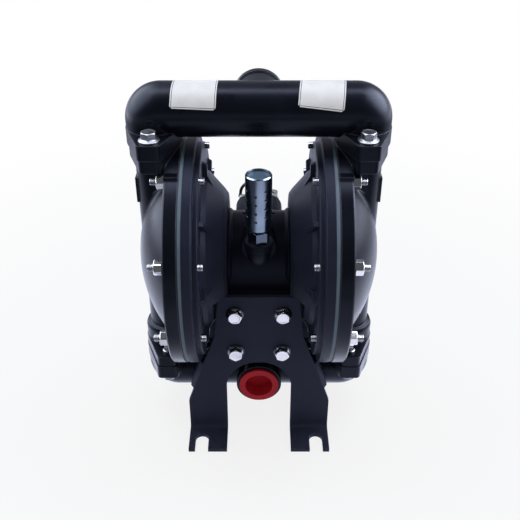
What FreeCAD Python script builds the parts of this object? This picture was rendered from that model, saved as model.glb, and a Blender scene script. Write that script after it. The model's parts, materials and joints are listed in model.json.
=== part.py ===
import FreeCAD, Part
import math
import os

from FreeCAD import Placement, Rotation, Vector

# An air-operated double diaphragm pump, in millimetres. X runs along the diaphragm shaft,
# the front with the inlet port faces -Y, and Z is up. The origin is on the floor, midway
# between the two diaphragms and below the shaft.

# Sizes of the air side
hub_face = 26.0
hub_radius = 50.0
air_cap_depth = 31.6
air_flange_depth = 12.0
air_rim_width = 7.6
air_flange_drop = 6.5
air_cone_radius = 66.0
air_cap_wall = 5.0
rib_height = 3.8
rib_thickness = 4.0

# Sizes of the clamped joint round each diaphragm
rim_radius = 98.0
stud_circle_inset = 10.0
stud_count = 8
stud_radius = 3.15
stud_nut_width = 11.0
stud_nut_height = 6.7
stud_tip = 5.0
stud_back = 4.0
bead_thickness = 3.4
bead_width = 20.0
bead_inset = 0.4

# Sizes of the fluid side
fluid_rim_width = 10.9
dome_height = 29.3
dome_inset = 24.0
dome_lip = 2.3
dome_wall = 6.0
riser_radius = 17.0
riser_bore = 13.0
riser_root_radius = 6.0
bore_drop = 52.0
cage_radius = 21.0
cage_height = 27.0
cage_bore = 17.4
cap_face_land = 0.5
cap_flange_height = 10.6
flange_step = 0.8
shoulder_width = 90.0
pad_rise = 0.7

# Sizes of the manifolds
joint_overhang = 3.0
tube_radius = 21.5
tube_wall = 4.1
bend_radius = 7.0
leg_height = 19.0
ear_offset = 30.0
ear_width = 19.0
ear_reach = 40.4
ear_corner = 4.0
manifold_flange_height = 12.5
flange_bolt_width = 10.8
flange_bolt_head = 5.4
flange_bolt_collar = 8.1
port_boss_radius = 20.5
outlet_reach = 35.0
inlet_reach = 33.0
port_lip = 6.0
port_radius = 14.7
port_depth = 15.6
port_plug_flange = 18.0
port_plug_wall = 2.2
port_plug_depth = 14.0
port_plug_lip = 2.6

# Sizes of the check valves
ball_radius = 14.0
ball_lift = 6.0
seat_radius = 18.0
seat_height = 6.5
seat_contact = 12.0
seat_bore = 11.0
ring_section = 0.9

# Sizes of the moving core
stroke = 9.0
shaft_radius = 9.0
shaft_stud = 6.0
plate_radius = 44.0
plate_thickness = 10.2
outer_plate_thickness = 9.0
shaft_nut_width = 19.0
shaft_nut_height = 8.0
bush_wall = 3.0
bush_length = 17.0
pilot_radius = 3.0
pilot_height = 20.0
pilot_travel = 3.0

# Sizes of the centre body
body_radius = 33.0
trunk_depth = 39.5
body_flange_radius = 35.0
body_flange_width = 5.0
body_bottom = 9.3
crown_hole_radius = 1.6
crown_hole_spacing = 25.0
crown_hole_back = 3.0

# Sizes of the air valve behind the centre body
valve_width = 42.0
valve_height = 40.0
valve_depth = 28.0
valve_corner = 12.0
gasket_thickness = 1.0
sleeve_radius = 6.5
spool_radius = 4.5
spool_travel = 3.5
air_port_radius = 5.6
air_port_depth = 12.0
air_way_radius = 4.5
nipple_hex_width = 17.0
nipple_hex_length = 6.0
cock_hex_width = 19.0
cock_hex_length = 9.0
cock_half_length = 18.0
cock_end_length = 20.0
cock_ball_radius = 7.0
cock_stem_radius = 2.5
cock_boss_height = 14.0
cock_lever_width = 13.0
cock_lever_reach = 18.0
cock_lever_thickness = 2.0
cock_nut_width = 7.0
cock_nut_height = 2.5
cock_grip_radius = 1.5
cock_grip_drop = 4.5

# Sizes of the exhaust
exhaust_height = 22.0
exhaust_leg = 5.4
exhaust_bend = 13.0
muffler_stand_off = 53.0
muffler_radius = 10.15
muffler_length = 44.9
muffler_hex_width = 15.0
muffler_hex_height = 9.2
muffler_turn = -12.0
muffler_wall = 1.0
muffler_hole = 1.15
muffler_columns = 8
muffler_rows = 4
muffler_pitch = 7.2

# Sizes of the two feet
ground_clearance = 25.5
bracket_thickness = 4.0
bracket_drop = 21.3
bracket_waist_drop = 63.0
bracket_knee_height = 35.7
bracket_top_width = 69.6
bracket_waist_width = 77.5
bracket_foot_width = 128.2
bracket_foot_reach = 29.0
bracket_arch_radius = 29.1
bracket_arch_rise = 6.0
bracket_bolt_drop = 38.8
bracket_bolt_spacing = 40.6
bracket_bolt_radius = 4.0
bracket_bolt_width = 11.0
bracket_bolt_head = 5.2
bracket_bolt_collar = 7.6
bracket_bolt_depth = 12.0
bracket_flange_depth = 9.0
relief_rise = 3.0
relief_height = 31.7
foot_slot_width = 12.0
foot_slot_spacing = 104.8
foot_slot_depth = 18.6
foot_bend = 4.0

# Clearances
running_fit = 0.05
thread_fit = 0.05
hole_clearance = 0.35
soft_clearance = 0.3

# Places along the shaft, measured from the middle
bead_face = hub_face + air_cap_depth
fluid_face = bead_face + bead_thickness
fluid_rim_face = fluid_face + fluid_rim_width
dome_reach = fluid_rim_face + dome_height
riser_x = fluid_face + cap_face_land + cage_radius - 0.3
stud_circle = rim_radius - stud_circle_inset
chamber_radius = rim_radius - bead_width - bead_inset

# Heights, measured from the floor
joint_rise = rim_radius + joint_overhang
manifold_rise = joint_rise + leg_height + bend_radius
shaft_height = ground_clearance + tube_radius + manifold_rise
joint_top = shaft_height + joint_rise
joint_bottom = shaft_height - joint_rise
outlet_height = shaft_height + manifold_rise
inlet_height = shaft_height - manifold_rise
bracket_top_height = shaft_height - bracket_drop
bracket_waist_height = shaft_height - bracket_waist_drop
bracket_bolt_top = shaft_height - bracket_bolt_drop
bracket_bolt_low = bracket_bolt_top - bracket_bolt_spacing

RIGHT = Vector(1, 0, 0)
BACK = Vector(0, 1, 0)
UP = Vector(0, 0, 1)


def save(node, *solids):
    """Write one node, made of one or more separate solids."""
    shape = solids[0] if len(solids) == 1 else Part.makeCompound(list(solids))
    shape.exportStep("parts/" + node + ".step")


def mirrored(shape):
    """The same shape on the other side of the middle plane."""
    return shape.mirror(Vector(0, 0, 0), RIGHT)


def placed(shape, position, direction):
    """A shape made along +Z from the origin, moved to a position and turned to a direction."""
    copy = shape.copy()
    copy.Placement = Placement(position, Rotation(UP, direction)).multiply(shape.Placement)
    return copy


def on_shaft(point):
    """A point (distance along the shaft, radius) in the upright plane through the shaft."""
    return Vector(point[0], 0, shaft_height + point[1])


def on_riser(point):
    """A point (radius, height) in the upright plane through the right-hand riser."""
    return Vector(riser_x + point[0], 0, point[1])


def flat_face(start, steps, lift):
    """A flat face. Each step is the end of a line, or (a point on an arc, its end)."""
    edges = []
    here = start
    for step in steps + [start]:
        if isinstance(step[0], tuple):
            through, there = step
            edges.append(Part.Arc(lift(here), lift(through), lift(there)).toShape())
        else:
            there = step
            edges.append(Part.makeLine(lift(here), lift(there)))
        here = there
    return Part.Face(Part.Wire(edges))


def turned_on_shaft(start, steps):
    """A solid turned about the shaft from a half outline of (distance, radius) points."""
    return flat_face(start, steps, on_shaft).revolve(Vector(0, 0, shaft_height), RIGHT, 360)


def turned_on_riser(start, steps):
    """A solid turned about the right-hand riser from (radius, height) points."""
    return flat_face(start, steps, on_riser).revolve(Vector(riser_x, 0, 0), UP, 360)


def ring_points(count, radius, start_degrees):
    """Evenly spaced (y, z) offsets on a circle about the shaft."""
    angles = [math.radians(start_degrees + 360.0 * i / count) for i in range(count)]
    return [(radius * math.cos(a), radius * math.sin(a)) for a in angles]


def rod(radius, start, end):
    """A round bar between two points."""
    return Part.makeCylinder(radius, (end - start).Length, start, end - start)


def hexagon(width, height):
    """A hexagonal prism of a given width across its flats, standing on the origin."""
    corner = width / math.sqrt(3.0)
    angles = [math.radians(60.0 * i + 30.0) for i in range(7)]
    points = [Vector(corner * math.cos(a), corner * math.sin(a), 0) for a in angles]
    return Part.Face(Part.makePolygon(points)).extrude(Vector(0, 0, height))


def crowned_hexagon(width, height, both_ends):
    """A hexagon whose corners are turned off to a cone at its top, or at both ends."""
    corner = width / math.sqrt(3.0)
    fall = (corner - width * 0.5) * 0.6
    steps = [(width * 0.5, 0), (corner, fall)] if both_ends else [(corner, 0)]
    outline = steps + [(corner, height - fall), (width * 0.5, height), (0, height)]
    turned = flat_face((0, 0), outline, lambda p: Vector(p[0], 0, p[1])).revolve(
        Vector(0, 0, 0), UP, 360
    )
    return hexagon(width, height).common(turned)


def nut(width, height, hole):
    """A hexagon nut standing on the origin."""
    return crowned_hexagon(width, height, True).cut(Part.makeCylinder(hole, height))


def flanged_screw(width, head_height, collar_radius, collar_height, shank_radius, length):
    """A hexagon screw with a collar: the head stands on the origin and the shank hangs below."""
    head = placed(crowned_hexagon(width, head_height, False), Vector(0, 0, collar_height), UP)
    collar = Part.makeCone(collar_radius, collar_radius - collar_height, collar_height)
    shank = rod(shank_radius, Vector(0, 0, 0), Vector(0, 0, -length))
    return head.fuse([collar, shank]).removeSplitter()


def rounded_block(width, height, depth, corner):
    """An upright block with round corners seen from the front, centred, from y = 0 to depth."""
    block = Part.makeBox(width, depth, height, Vector(-width / 2, 0, -height / 2))
    corners = [e for e in block.Edges if abs(e.tangentAt(e.FirstParameter).y) > 0.9]
    return block.makeFillet(corner, corners)


def pipe(path, radius):
    """A round bar that follows a path of tangent lines and arcs."""
    start = path.Edges[0].valueAt(path.Edges[0].FirstParameter)
    along = path.Edges[0].tangentAt(path.Edges[0].FirstParameter)
    circle = Part.Wire(Part.makeCircle(radius, start, along))
    return path.makePipeShell([circle], True, True)


def stud_points():
    """Offsets of the clamping studs, none of them straight above the shaft."""
    return ring_points(stud_count, stud_circle, 180.0 / stud_count)


def on_circle(solid_maker):
    """Copies of a piece that points along +X, one on each clamping stud."""
    return [
        placed(solid_maker(), Vector(0, y, shaft_height + z), RIGHT) for y, z in stud_points()
    ]


def lobed_plate(centre_radius, step, bottom, height):
    """A flange plate round the riser, drawn out to a square-ended ear in front and one behind.
    Its sides are the common tangents of the middle circle and of the ears' round corners.
    The ears stand back from the full outline by a step."""
    corner_x = ear_width / 2 - ear_corner - step
    corner_y = ear_reach - ear_corner - step
    away = math.hypot(corner_x, corner_y)
    turn = math.atan2(corner_y, corner_x) - math.acos((centre_radius - ear_corner) / away)
    half_turn = (turn + math.pi / 2) / 2

    def on_middle(x_sign, y_sign):
        return (x_sign * centre_radius * math.cos(turn), y_sign * centre_radius * math.sin(turn))

    def on_corner(x_sign, y_sign, angle):
        x = corner_x + ear_corner * math.cos(angle)
        y = corner_y + ear_corner * math.sin(angle)
        return (x_sign * x, y_sign * y)

    def to_ear(x_sign, y_sign):
        return [
            on_corner(x_sign, y_sign, turn),
            (on_corner(x_sign, y_sign, half_turn), on_corner(x_sign, y_sign, math.pi / 2)),
        ]

    def from_ear(x_sign, y_sign):
        return [
            on_corner(x_sign, y_sign, math.pi / 2),
            (on_corner(x_sign, y_sign, half_turn), on_corner(x_sign, y_sign, turn)),
            on_middle(x_sign, y_sign),
        ]

    start = on_middle(1, -1)
    steps = [((centre_radius, 0), on_middle(1, 1))] + to_ear(1, 1) + from_ear(-1, 1)
    steps += [((-centre_radius, 0), on_middle(-1, -1))] + to_ear(-1, -1) + from_ear(1, -1)[:-1]
    lift = lambda p: Vector(riser_x + p[0], p[1], bottom)
    return flat_face(start, steps, lift).extrude(Vector(0, 0, height))


def ear_holes(bottom, height, radius):
    """The two bolt holes of a lobed flange."""
    return [
        Part.makeCylinder(radius, height, Vector(riser_x, side * ear_offset, bottom))
        for side in (-1, 1)
    ]


def dome_arc(base_x, base_radius, top_x):
    """The rest of a ball-shaped dome: a point half way up its arc, and its top on the shaft line."""
    height = top_x - base_x
    radius = (base_radius ** 2 + height ** 2) / (2 * height)
    centre = top_x - radius
    half_turn = math.atan2(base_radius, base_x - centre) / 2
    through = (centre + radius * math.cos(half_turn), radius * math.sin(half_turn))
    return (through, (top_x, 0))


def make_air_cap():
    """The right-hand inner cover: a dished shell from the hub to a stepped clamping rim."""
    outside = air_cap_outside()
    ribs = [air_cap_rib(y, z) for y, z in ring_points(stud_count, 1.0, 0.0)]
    patches = [relief_box(side, air_cap_wall * 0.8).common(outside) for side in (-1, 1)]
    cap = outside.fuse(ribs).cut(air_chamber()).fuse(patches)
    holes = on_circle(lambda: Part.makeCylinder(stud_radius + thread_fit, bead_face + 1))
    holes += air_cap_screw_holes()
    holes.append(pilot_bore(pilot_radius + 4 * running_fit, hub_face - 1, bead_face))
    holes += [relief_box(side, 0.0) for side in (-1, 1)]
    return cap.cut(holes).removeSplitter()


def air_cap_outside():
    """The outer form of an air cap, solid, with only the shaft's hole through it."""
    flange_face = bead_face - air_flange_depth
    rim_face = bead_face - air_rim_width
    hub_hole = shaft_radius + bush_wall
    steps = [
        (hub_face, hub_radius - 2.0),
        (hub_face + 2.8, hub_radius + 2.0),
        (air_cone_end(), air_cone_radius),
        (flange_face, air_cone_radius + 2.5),
        (flange_face, rim_radius - air_flange_drop - 0.8),
        (flange_face + 0.8, rim_radius - air_flange_drop),
        (rim_face, rim_radius - air_flange_drop),
        (rim_face, rim_radius - 0.8),
        (rim_face + 0.8, rim_radius),
        (bead_face, rim_radius),
        (bead_face, hub_hole),
    ]
    return turned_on_shaft((hub_face, hub_hole), steps)


def air_cone_end():
    """Distance along the shaft where the cone of an air cap runs into its flange."""
    return bead_face - air_flange_depth - 4.0


def air_chamber():
    """The hollow of an air cap behind its diaphragm."""
    floor = hub_face + air_cap_wall
    steps = [
        (bead_face + 1, chamber_radius),
        (bead_face, chamber_radius),
        (bead_face - 4.0, chamber_radius - 1.5),
        (air_cone_end() + air_cap_wall + 2.0, air_cone_radius + 2.0),
        (floor + 4.0, hub_radius),
        (floor, hub_radius - 4.5),
        (floor, 0),
    ]
    return turned_on_shaft((bead_face + 1, 0), steps)


def relief_box(side, wall):
    """The notch that lets a foot bracket pass an air cap, or the same grown by a wall."""
    start = hub_face + wall - 1
    end = bracket_waist_width / 2 - 1.2 + wall
    depth = trunk_depth - 0.5 - wall
    near = depth if side > 0 else -depth - hub_radius
    low = bracket_top_height + relief_rise - relief_height - wall
    height = relief_height + 2 * wall
    return Part.makeBox(end - start, hub_radius, height, Vector(start, near, low))


def air_cap_rib(y, z):
    """A low web in the corner between the cone and the flange of an air cap, towards (y, z)."""
    flange_face = bead_face - air_flange_depth
    crest = flange_face - rib_height
    outer = rim_radius - air_flange_drop - 5.0
    points = [
        (crest - 5.0, air_cone_radius - 5.5),
        (crest, air_cone_radius + 4.0),
        (crest, outer - 7.0),
        (flange_face + 1.0, outer - 4.0),
        (flange_face + 1.0, air_cone_radius - 2.0),
        (crest - 2.0, air_cone_radius - 7.5),
    ]
    half = rib_thickness / 2
    wire = Part.makePolygon([Vector(x, -half, r) for x, r in points + points[:1]])
    web = Part.Face(wire).extrude(Vector(0, 2 * half, 0))
    web.rotate(Vector(0, 0, 0), RIGHT, math.degrees(math.atan2(-y, z)))
    web.translate(Vector(0, 0, shaft_height))
    return web


def cap_screw_points():
    """Offsets of the screws that hold an air cap to the centre body."""
    return ring_points(4, hub_radius * 0.54, 45.0)


def air_cap_screw_holes():
    """Holes for the screws that hold an air cap to the centre body."""
    return [
        rod(
            stud_radius + hole_clearance,
            Vector(hub_face - 1, y, shaft_height + z),
            Vector(hub_face + air_cap_wall + 1, y, shaft_height + z),
        )
        for y, z in cap_screw_points()
    ]


def pilot_bore(radius, start, end):
    """A bar along the pilot rod's line, used as a hole or as the rod."""
    height = shaft_height + pilot_height
    return rod(radius, Vector(start, 0, height), Vector(end, 0, height))


def make_fluid_cap():
    """The right-hand outer cover: a domed chamber with a riser above and a valve cage below."""
    dome_base = rim_radius - dome_inset
    start = (fluid_face, 0)
    steps = [
        (fluid_face, rim_radius),
        (fluid_rim_face - 1.2, rim_radius),
        (fluid_rim_face, rim_radius - 1.2),
        (fluid_rim_face, dome_base + 2.0),
        (fluid_rim_face + dome_lip, dome_base),
        dome_arc(fluid_rim_face + dome_lip, dome_base, dome_reach),
    ]
    shell = turned_on_shaft(start, steps)
    shell = shell.fuse(fluid_cap_castings()).removeSplitter()
    shell = shell.makeFillet(riser_root_radius, riser_root_edges(shell))
    shell = shell.cut(fluid_chamber())
    shell = shell.cut(fluid_cap_passages())
    return shell.fuse(ball_stop_bar(suction_stop_height())).removeSplitter()


def riser_root_edges(shell):
    """The edges where the riser and the drop grow out of the ball-shaped dome."""
    edges = []
    for edge in shell.Edges:
        surfaces = [face.Surface for face in shell.ancestorsOfType(edge, Part.Face)]
        on_dome = any(isinstance(surface, Part.Sphere) for surface in surfaces)
        on_riser = any(isinstance(surface, Part.Cylinder) for surface in surfaces)
        if on_dome and on_riser:
            edges.append(edge)
    return edges


def fluid_chamber():
    """The pumping chamber inside a fluid cap."""
    mouth = chamber_radius - 4.0
    top = dome_reach - dome_wall
    start = (fluid_face - 1, 0)
    steps = [
        (fluid_face - 1, chamber_radius),
        (fluid_face + 4.0, chamber_radius),
        (fluid_face + 7.0, mouth),
        dome_arc(fluid_face + 7.0, mouth, top),
    ]
    return turned_on_shaft(start, steps)


def fluid_cap_castings():
    """What stands on the dome: the riser, the cage, both flanges, the shoulder and a pad."""
    riser = Part.makeCylinder(
        riser_radius, joint_rise - 12.0, Vector(riser_x, 0, shaft_height + 12.0)
    )
    drop = Part.makeCylinder(
        riser_radius, joint_rise - 15.0, Vector(riser_x, 0, joint_bottom)
    )
    cage_top = joint_bottom + cage_height
    cage = turned_on_riser(
        (0, joint_bottom),
        [
            (cage_radius, joint_bottom),
            (cage_radius, cage_top - 4.0),
            (cage_radius - 1.2, cage_top - 1.2),
            (riser_radius, cage_top),
            (0, cage_top),
        ],
    )
    top_flange = lobed_plate(
        tube_radius - flange_step, flange_step, joint_top - cap_flange_height, cap_flange_height
    )
    low_flange = lobed_plate(cage_radius + 0.5, flange_step, joint_bottom, cap_flange_height)
    keep = Part.makeBox(
        4 * tube_radius, 4 * ear_offset, 2 * joint_rise, Vector(fluid_face, -2 * ear_offset, joint_bottom)
    )
    shoulder = Part.makeBox(
        fluid_rim_width,
        shoulder_width,
        joint_top - cap_flange_height - shaft_height - rim_radius * 0.83,
        Vector(fluid_face, -shoulder_width / 2, shaft_height + rim_radius * 0.83),
    )
    webs = [flange_web(side) for side in (-1, 1)]
    pad = Part.makeBox(
        pad_rise + 1.5, 14.0, 22.0, Vector(riser_x + riser_radius - 1.5, -7.0, shaft_height + 49.0)
    )
    pieces = [riser, drop, cage, top_flange, low_flange, shoulder] + webs
    return [piece.common(keep) for piece in pieces] + [pad]


def flange_web(side):
    """A web under the top flange of a fluid cap that leads an ear into the rim."""
    top = joint_top - cap_flange_height
    start = side * (riser_radius + 3.0)
    points = [
        Vector(fluid_rim_face - 1, start, top + 1),
        Vector(riser_x, start, top + 1),
        Vector(fluid_rim_face - 1, start, top - 9.0),
        Vector(fluid_rim_face - 1, start, top + 1),
    ]
    return Part.Face(Part.makePolygon(points)).extrude(Vector(0, -side * 10.0, 0))


def fluid_cap_passages():
    """Holes through a fluid cap: bores, seat pockets, studs and flange bolts."""
    cage_top = joint_bottom + cage_height
    throat = cage_top + 2.0
    suction = turned_on_riser(
        (0, joint_bottom - 1),
        [
            (seat_radius, joint_bottom - 1),
            (seat_radius, joint_bottom + seat_height),
            (cage_bore, joint_bottom + seat_height),
            (cage_bore, cage_top - 3.0),
            (riser_bore, throat + 3.0),
            (riser_bore, shaft_height - bore_drop),
            (0, shaft_height - bore_drop),
        ],
    )
    discharge = turned_on_riser(
        (0, joint_top + 1),
        [
            (seat_radius, joint_top + 1),
            (seat_radius, joint_top - seat_height),
            (riser_bore, joint_top - seat_height - 3.0),
            (riser_bore, shaft_height + bore_drop),
            (0, shaft_height + bore_drop),
        ],
    )
    tapped = bracket_bolt_radius + thread_fit
    depth = cap_flange_height + 2
    holes = ear_holes(joint_bottom - 1, depth, tapped)
    holes += ear_holes(joint_top + 1 - depth, depth, tapped)
    holes += on_circle(lambda: Part.makeCylinder(stud_radius + hole_clearance, dome_reach))
    return [suction, discharge] + holes


def ball_at_rest(seat_top):
    """Height of a ball's middle when it lies on its seat."""
    drop = 1.2
    return seat_top - drop + math.sqrt(ball_radius ** 2 - seat_contact ** 2) + running_fit


def suction_ball_height():
    return ball_at_rest(joint_bottom + seat_height)


def discharge_ball_height():
    return ball_at_rest(joint_top)


def suction_stop_height():
    """Underside of the bar that stops a lifted suction ball."""
    return suction_ball_height() + ball_lift + ball_radius + soft_clearance


def ball_stop_bar(bottom):
    """A bar across the riser, above the ball."""
    reach = riser_bore + 1.0
    return Part.makeBox(5.0, 2 * reach, 4.5, Vector(riser_x - 2.5, -reach, bottom))


def make_seat(top):
    """A ring whose inner edge is coned to take the ball."""
    slope = seat_contact / math.sqrt(ball_radius ** 2 - seat_contact ** 2)
    drop = 1.2
    low = drop * 2
    return turned_on_riser(
        (seat_contact + drop / slope, top),
        [
            (seat_radius - running_fit, top),
            (seat_radius - running_fit, top - seat_height),
            (seat_bore, top - seat_height),
            (seat_bore, top - low - 1.0),
            (seat_contact - drop / slope, top - low),
        ],
    )


def make_ball(height):
    return Part.makeSphere(ball_radius, Vector(riser_x, 0, height))


def bent_pipe(height, direction, radius):
    """A manifold's pipe as a solid bar: the run across, two tight elbows and two legs."""
    turn_height = height - direction * bend_radius
    foot = turn_height - direction * leg_height
    run_end = riser_x - bend_radius
    run = rod(radius, Vector(-run_end, 0, height), Vector(run_end, 0, height))
    leg = rod(radius, Vector(riser_x, 0, foot), Vector(riser_x, 0, turn_height))
    elbow = quarter_elbow(turn_height, direction, radius)
    return run.fuse([leg, elbow, mirrored(leg), mirrored(elbow)]).removeSplitter()


def quarter_elbow(height, direction, radius):
    """The right-hand elbow: the leg's disc turned a quarter about an axis that lies inside it,
    so only the part of the disc outside the axis is turned."""
    axis = Vector(riser_x - bend_radius, 0, height)
    disc = Part.Face(Part.Wire(Part.makeCircle(radius, Vector(riser_x, 0, height), UP)))
    outside = Part.makeBox(
        bend_radius + radius, 2 * radius, 2.0, axis - Vector(0, radius, 1.0)
    )
    return disc.common(outside).Faces[0].revolve(axis, Vector(0, -direction, 0), 90)


def make_manifold(height, direction, reach):
    """A cast pipe with an elbow and a lobed flange at each end, and a port boss in the middle."""
    flange_bottom = joint_top if direction > 0 else joint_bottom - manifold_flange_height
    plate = lobed_plate(tube_radius + 0.5, 0.0, flange_bottom, manifold_flange_height)
    body = bent_pipe(height, direction, tube_radius)
    body = body.fuse([plate, mirrored(plate), port_boss(height, reach)])
    bore = bent_pipe(height, direction, tube_radius - tube_wall)
    groove = ring_groove(direction)
    drills = ear_holes(
        flange_bottom - 1, manifold_flange_height + 2, bracket_bolt_radius + hole_clearance
    )
    cuts = [bore, port_bore(height, reach), groove, mirrored(groove)]
    cuts += drills + [mirrored(drill) for drill in drills]
    seats = [bolt_seat(direction, side) for side in (-1, 1)]
    cuts += seats + [mirrored(seat) for seat in seats]
    return body.cut(cuts).removeSplitter()


def bolt_seat(direction, side):
    """Clear room for a bolt head over an ear of a manifold flange."""
    level = joint_top + manifold_flange_height
    if direction < 0:
        level = joint_bottom - manifold_flange_height - 12.0
    return Part.makeCylinder(9.2, 12.0, Vector(riser_x, side * ear_offset, level))


def port_boss(height, reach):
    """A round boss from the middle of a manifold to its port face, with a bead at the end.
    The reach is positive towards the back and negative towards the front."""
    start = Vector(0, 0, height)
    end = Vector(0, reach, height)
    lip_start = Vector(0, math.copysign(abs(reach) - port_lip, reach), height)
    return rod(port_boss_radius - 1.0, start, end).fuse(rod(port_boss_radius, lip_start, end))


def port_bore(height, reach):
    """The threaded port and the way on into the manifold."""
    side = math.copysign(1.0, reach)
    bottom = Vector(0, reach - side * port_depth, height)
    thread = rod(port_radius, bottom, Vector(0, reach + side, height))
    way = rod(port_radius - 2.0, Vector(0, 0, height), bottom)
    return thread.fuse(way)


def ring_groove(direction):
    """A groove for the sealing ring in a manifold's joint face."""
    level = joint_top if direction > 0 else joint_bottom - 2 * ring_section
    outer = Part.makeCylinder(ring_middle() + ring_section, 2 * ring_section, Vector(riser_x, 0, level))
    inner = Part.makeCylinder(ring_middle() - ring_section, 2 * ring_section, Vector(riser_x, 0, level))
    return outer.cut(inner)


def ring_middle():
    """Radius of the middle line of a joint's sealing ring."""
    return (seat_radius + tube_radius) / 2


def make_joint_ring(direction):
    """A square-section sealing ring that fills its groove."""
    level = joint_top if direction > 0 else joint_bottom - 2 * ring_section
    half = ring_section - 0.02
    outer = Part.makeCylinder(ring_middle() + half, 2 * half, Vector(riser_x, 0, level))
    return outer.cut(Part.makeCylinder(ring_middle() - half, 2 * half, Vector(riser_x, 0, level)))


def make_discharge_stop():
    """A stub from the roof of the elbow that stops a lifted discharge ball."""
    bottom = discharge_ball_height() + ball_lift + ball_radius + soft_clearance
    bore = tube_radius - tube_wall
    centre_height = outlet_height - bend_radius
    roof = centre_height + math.sqrt((bend_radius + bore) ** 2 - bend_radius ** 2)
    return Part.makeCylinder(3.5, roof + 2.0 - bottom, Vector(riser_x, 0, bottom))


def make_diaphragm():
    """The flexible disc: a flat middle, one rolled fold, and a flat bead that shows at the rim."""
    middle = (bead_face + fluid_face) / 2
    low = middle - bead_thickness / 2
    high = middle + bead_thickness / 2
    fold_in = plate_radius + 3.0
    fold_out = chamber_radius - 3.0
    fold_mid = (fold_in + fold_out) / 2
    rise = 5.5
    outer = rim_radius - bead_inset
    start = (low, shaft_stud + hole_clearance)
    steps = [
        (low, fold_in),
        ((low + rise, fold_mid), (low, fold_out)),
        (low, outer),
        (high, outer),
        (high, fold_out),
        ((high + rise, fold_mid), (high, fold_in)),
        (high, shaft_stud + hole_clearance),
    ]
    disc = turned_on_shaft(start, steps)
    holes = on_circle(lambda: Part.makeCylinder(stud_radius + hole_clearance, dome_reach))
    return disc.cut(holes)


def plate_bore():
    return shaft_stud + hole_clearance


def make_inner_plate():
    """The metal disc on the air side of a diaphragm."""
    face = bead_face
    start = (face - plate_thickness, plate_bore())
    steps = [
        (face - plate_thickness, pilot_height + pilot_radius + 2.0),
        (face - plate_thickness * 0.55, plate_radius - 4.0),
        ((face - plate_thickness * 0.42, plate_radius - 1.0), (face - 3.5, plate_radius)),
        (face - 1.5, plate_radius),
        (face, plate_radius - 1.5),
        (face, plate_bore()),
    ]
    return turned_on_shaft(start, steps)


def make_outer_plate():
    """The metal disc on the fluid side of a diaphragm."""
    face = fluid_face
    start = (face, plate_bore())
    steps = [
        (face, plate_radius - 1.5),
        (face + 1.5, plate_radius),
        (face + 3.0, plate_radius),
        ((face + 4.6, plate_radius - 1.0), (face + 5.6, plate_radius - 3.5)),
        (face + outer_plate_thickness, shaft_nut_width),
        (face + outer_plate_thickness, plate_bore()),
    ]
    return turned_on_shaft(start, steps)


def plate_shoulder():
    """Distance from the middle to the shoulder that an inner plate sits on."""
    return bead_face - plate_thickness


def make_shaft():
    """The diaphragm rod: a ground bar with a threaded end at each side."""
    shoulder = plate_shoulder()
    tip = fluid_face + outer_plate_thickness + shaft_nut_height + 1.5
    start = (-tip, 0)
    steps = [
        (-tip, shaft_stud - 1.0),
        (-tip + 1.0, shaft_stud),
        (-shoulder, shaft_stud),
        (-shoulder, shaft_radius - 0.6),
        (-shoulder + 0.6, shaft_radius),
        (shoulder - 0.6, shaft_radius),
        (shoulder, shaft_radius - 0.6),
        (shoulder, shaft_stud),
        (tip - 1.0, shaft_stud),
        (tip, shaft_stud - 1.0),
        (tip, 0),
    ]
    return turned_on_shaft(start, steps)


def make_shaft_nut():
    """The nut that clamps a diaphragm between its two plates."""
    seat = Vector(fluid_face + outer_plate_thickness, 0, shaft_height)
    return placed(nut(shaft_nut_width, shaft_nut_height, shaft_stud + thread_fit), seat, RIGHT)


def make_shaft_bush():
    """A plain bush pressed into the centre body."""
    start = hub_face - 1.5 - bush_length
    return turned_on_shaft(
        (start, shaft_radius + running_fit),
        [
            (start, shaft_radius + bush_wall),
            (start + bush_length, shaft_radius + bush_wall),
            (start + bush_length, shaft_radius + running_fit),
        ],
    )


def make_shaft_seal():
    """A lip ring in the hub of an air cap."""
    start = hub_face + 0.4
    outer = shaft_radius + bush_wall
    inner = shaft_radius + 2 * running_fit
    depth = air_cap_wall - 0.8
    return turned_on_shaft(
        (start, inner + 0.6),
        [
            (start, outer),
            (start + depth, outer),
            (start + depth, inner),
            (start + depth - 1.2, inner),
        ],
    )


def pilot_half_length():
    """Half the pilot rod, so that a plate only meets it at the end of its stroke."""
    return plate_shoulder() - stroke + pilot_travel - soft_clearance


def make_pilot_rod():
    """The pin that the inner plates push over at each end of the stroke."""
    half = pilot_half_length()
    return pilot_bore(pilot_radius, -half, half)


def make_pilot_bush():
    """A small bush for the pilot rod."""
    outer = pilot_bore(pilot_radius + 2.0, hub_face - 13.0, hub_face - 0.2)
    inner = pilot_bore(pilot_radius + running_fit, hub_face - 14.0, hub_face)
    return outer.cut(inner)


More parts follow.
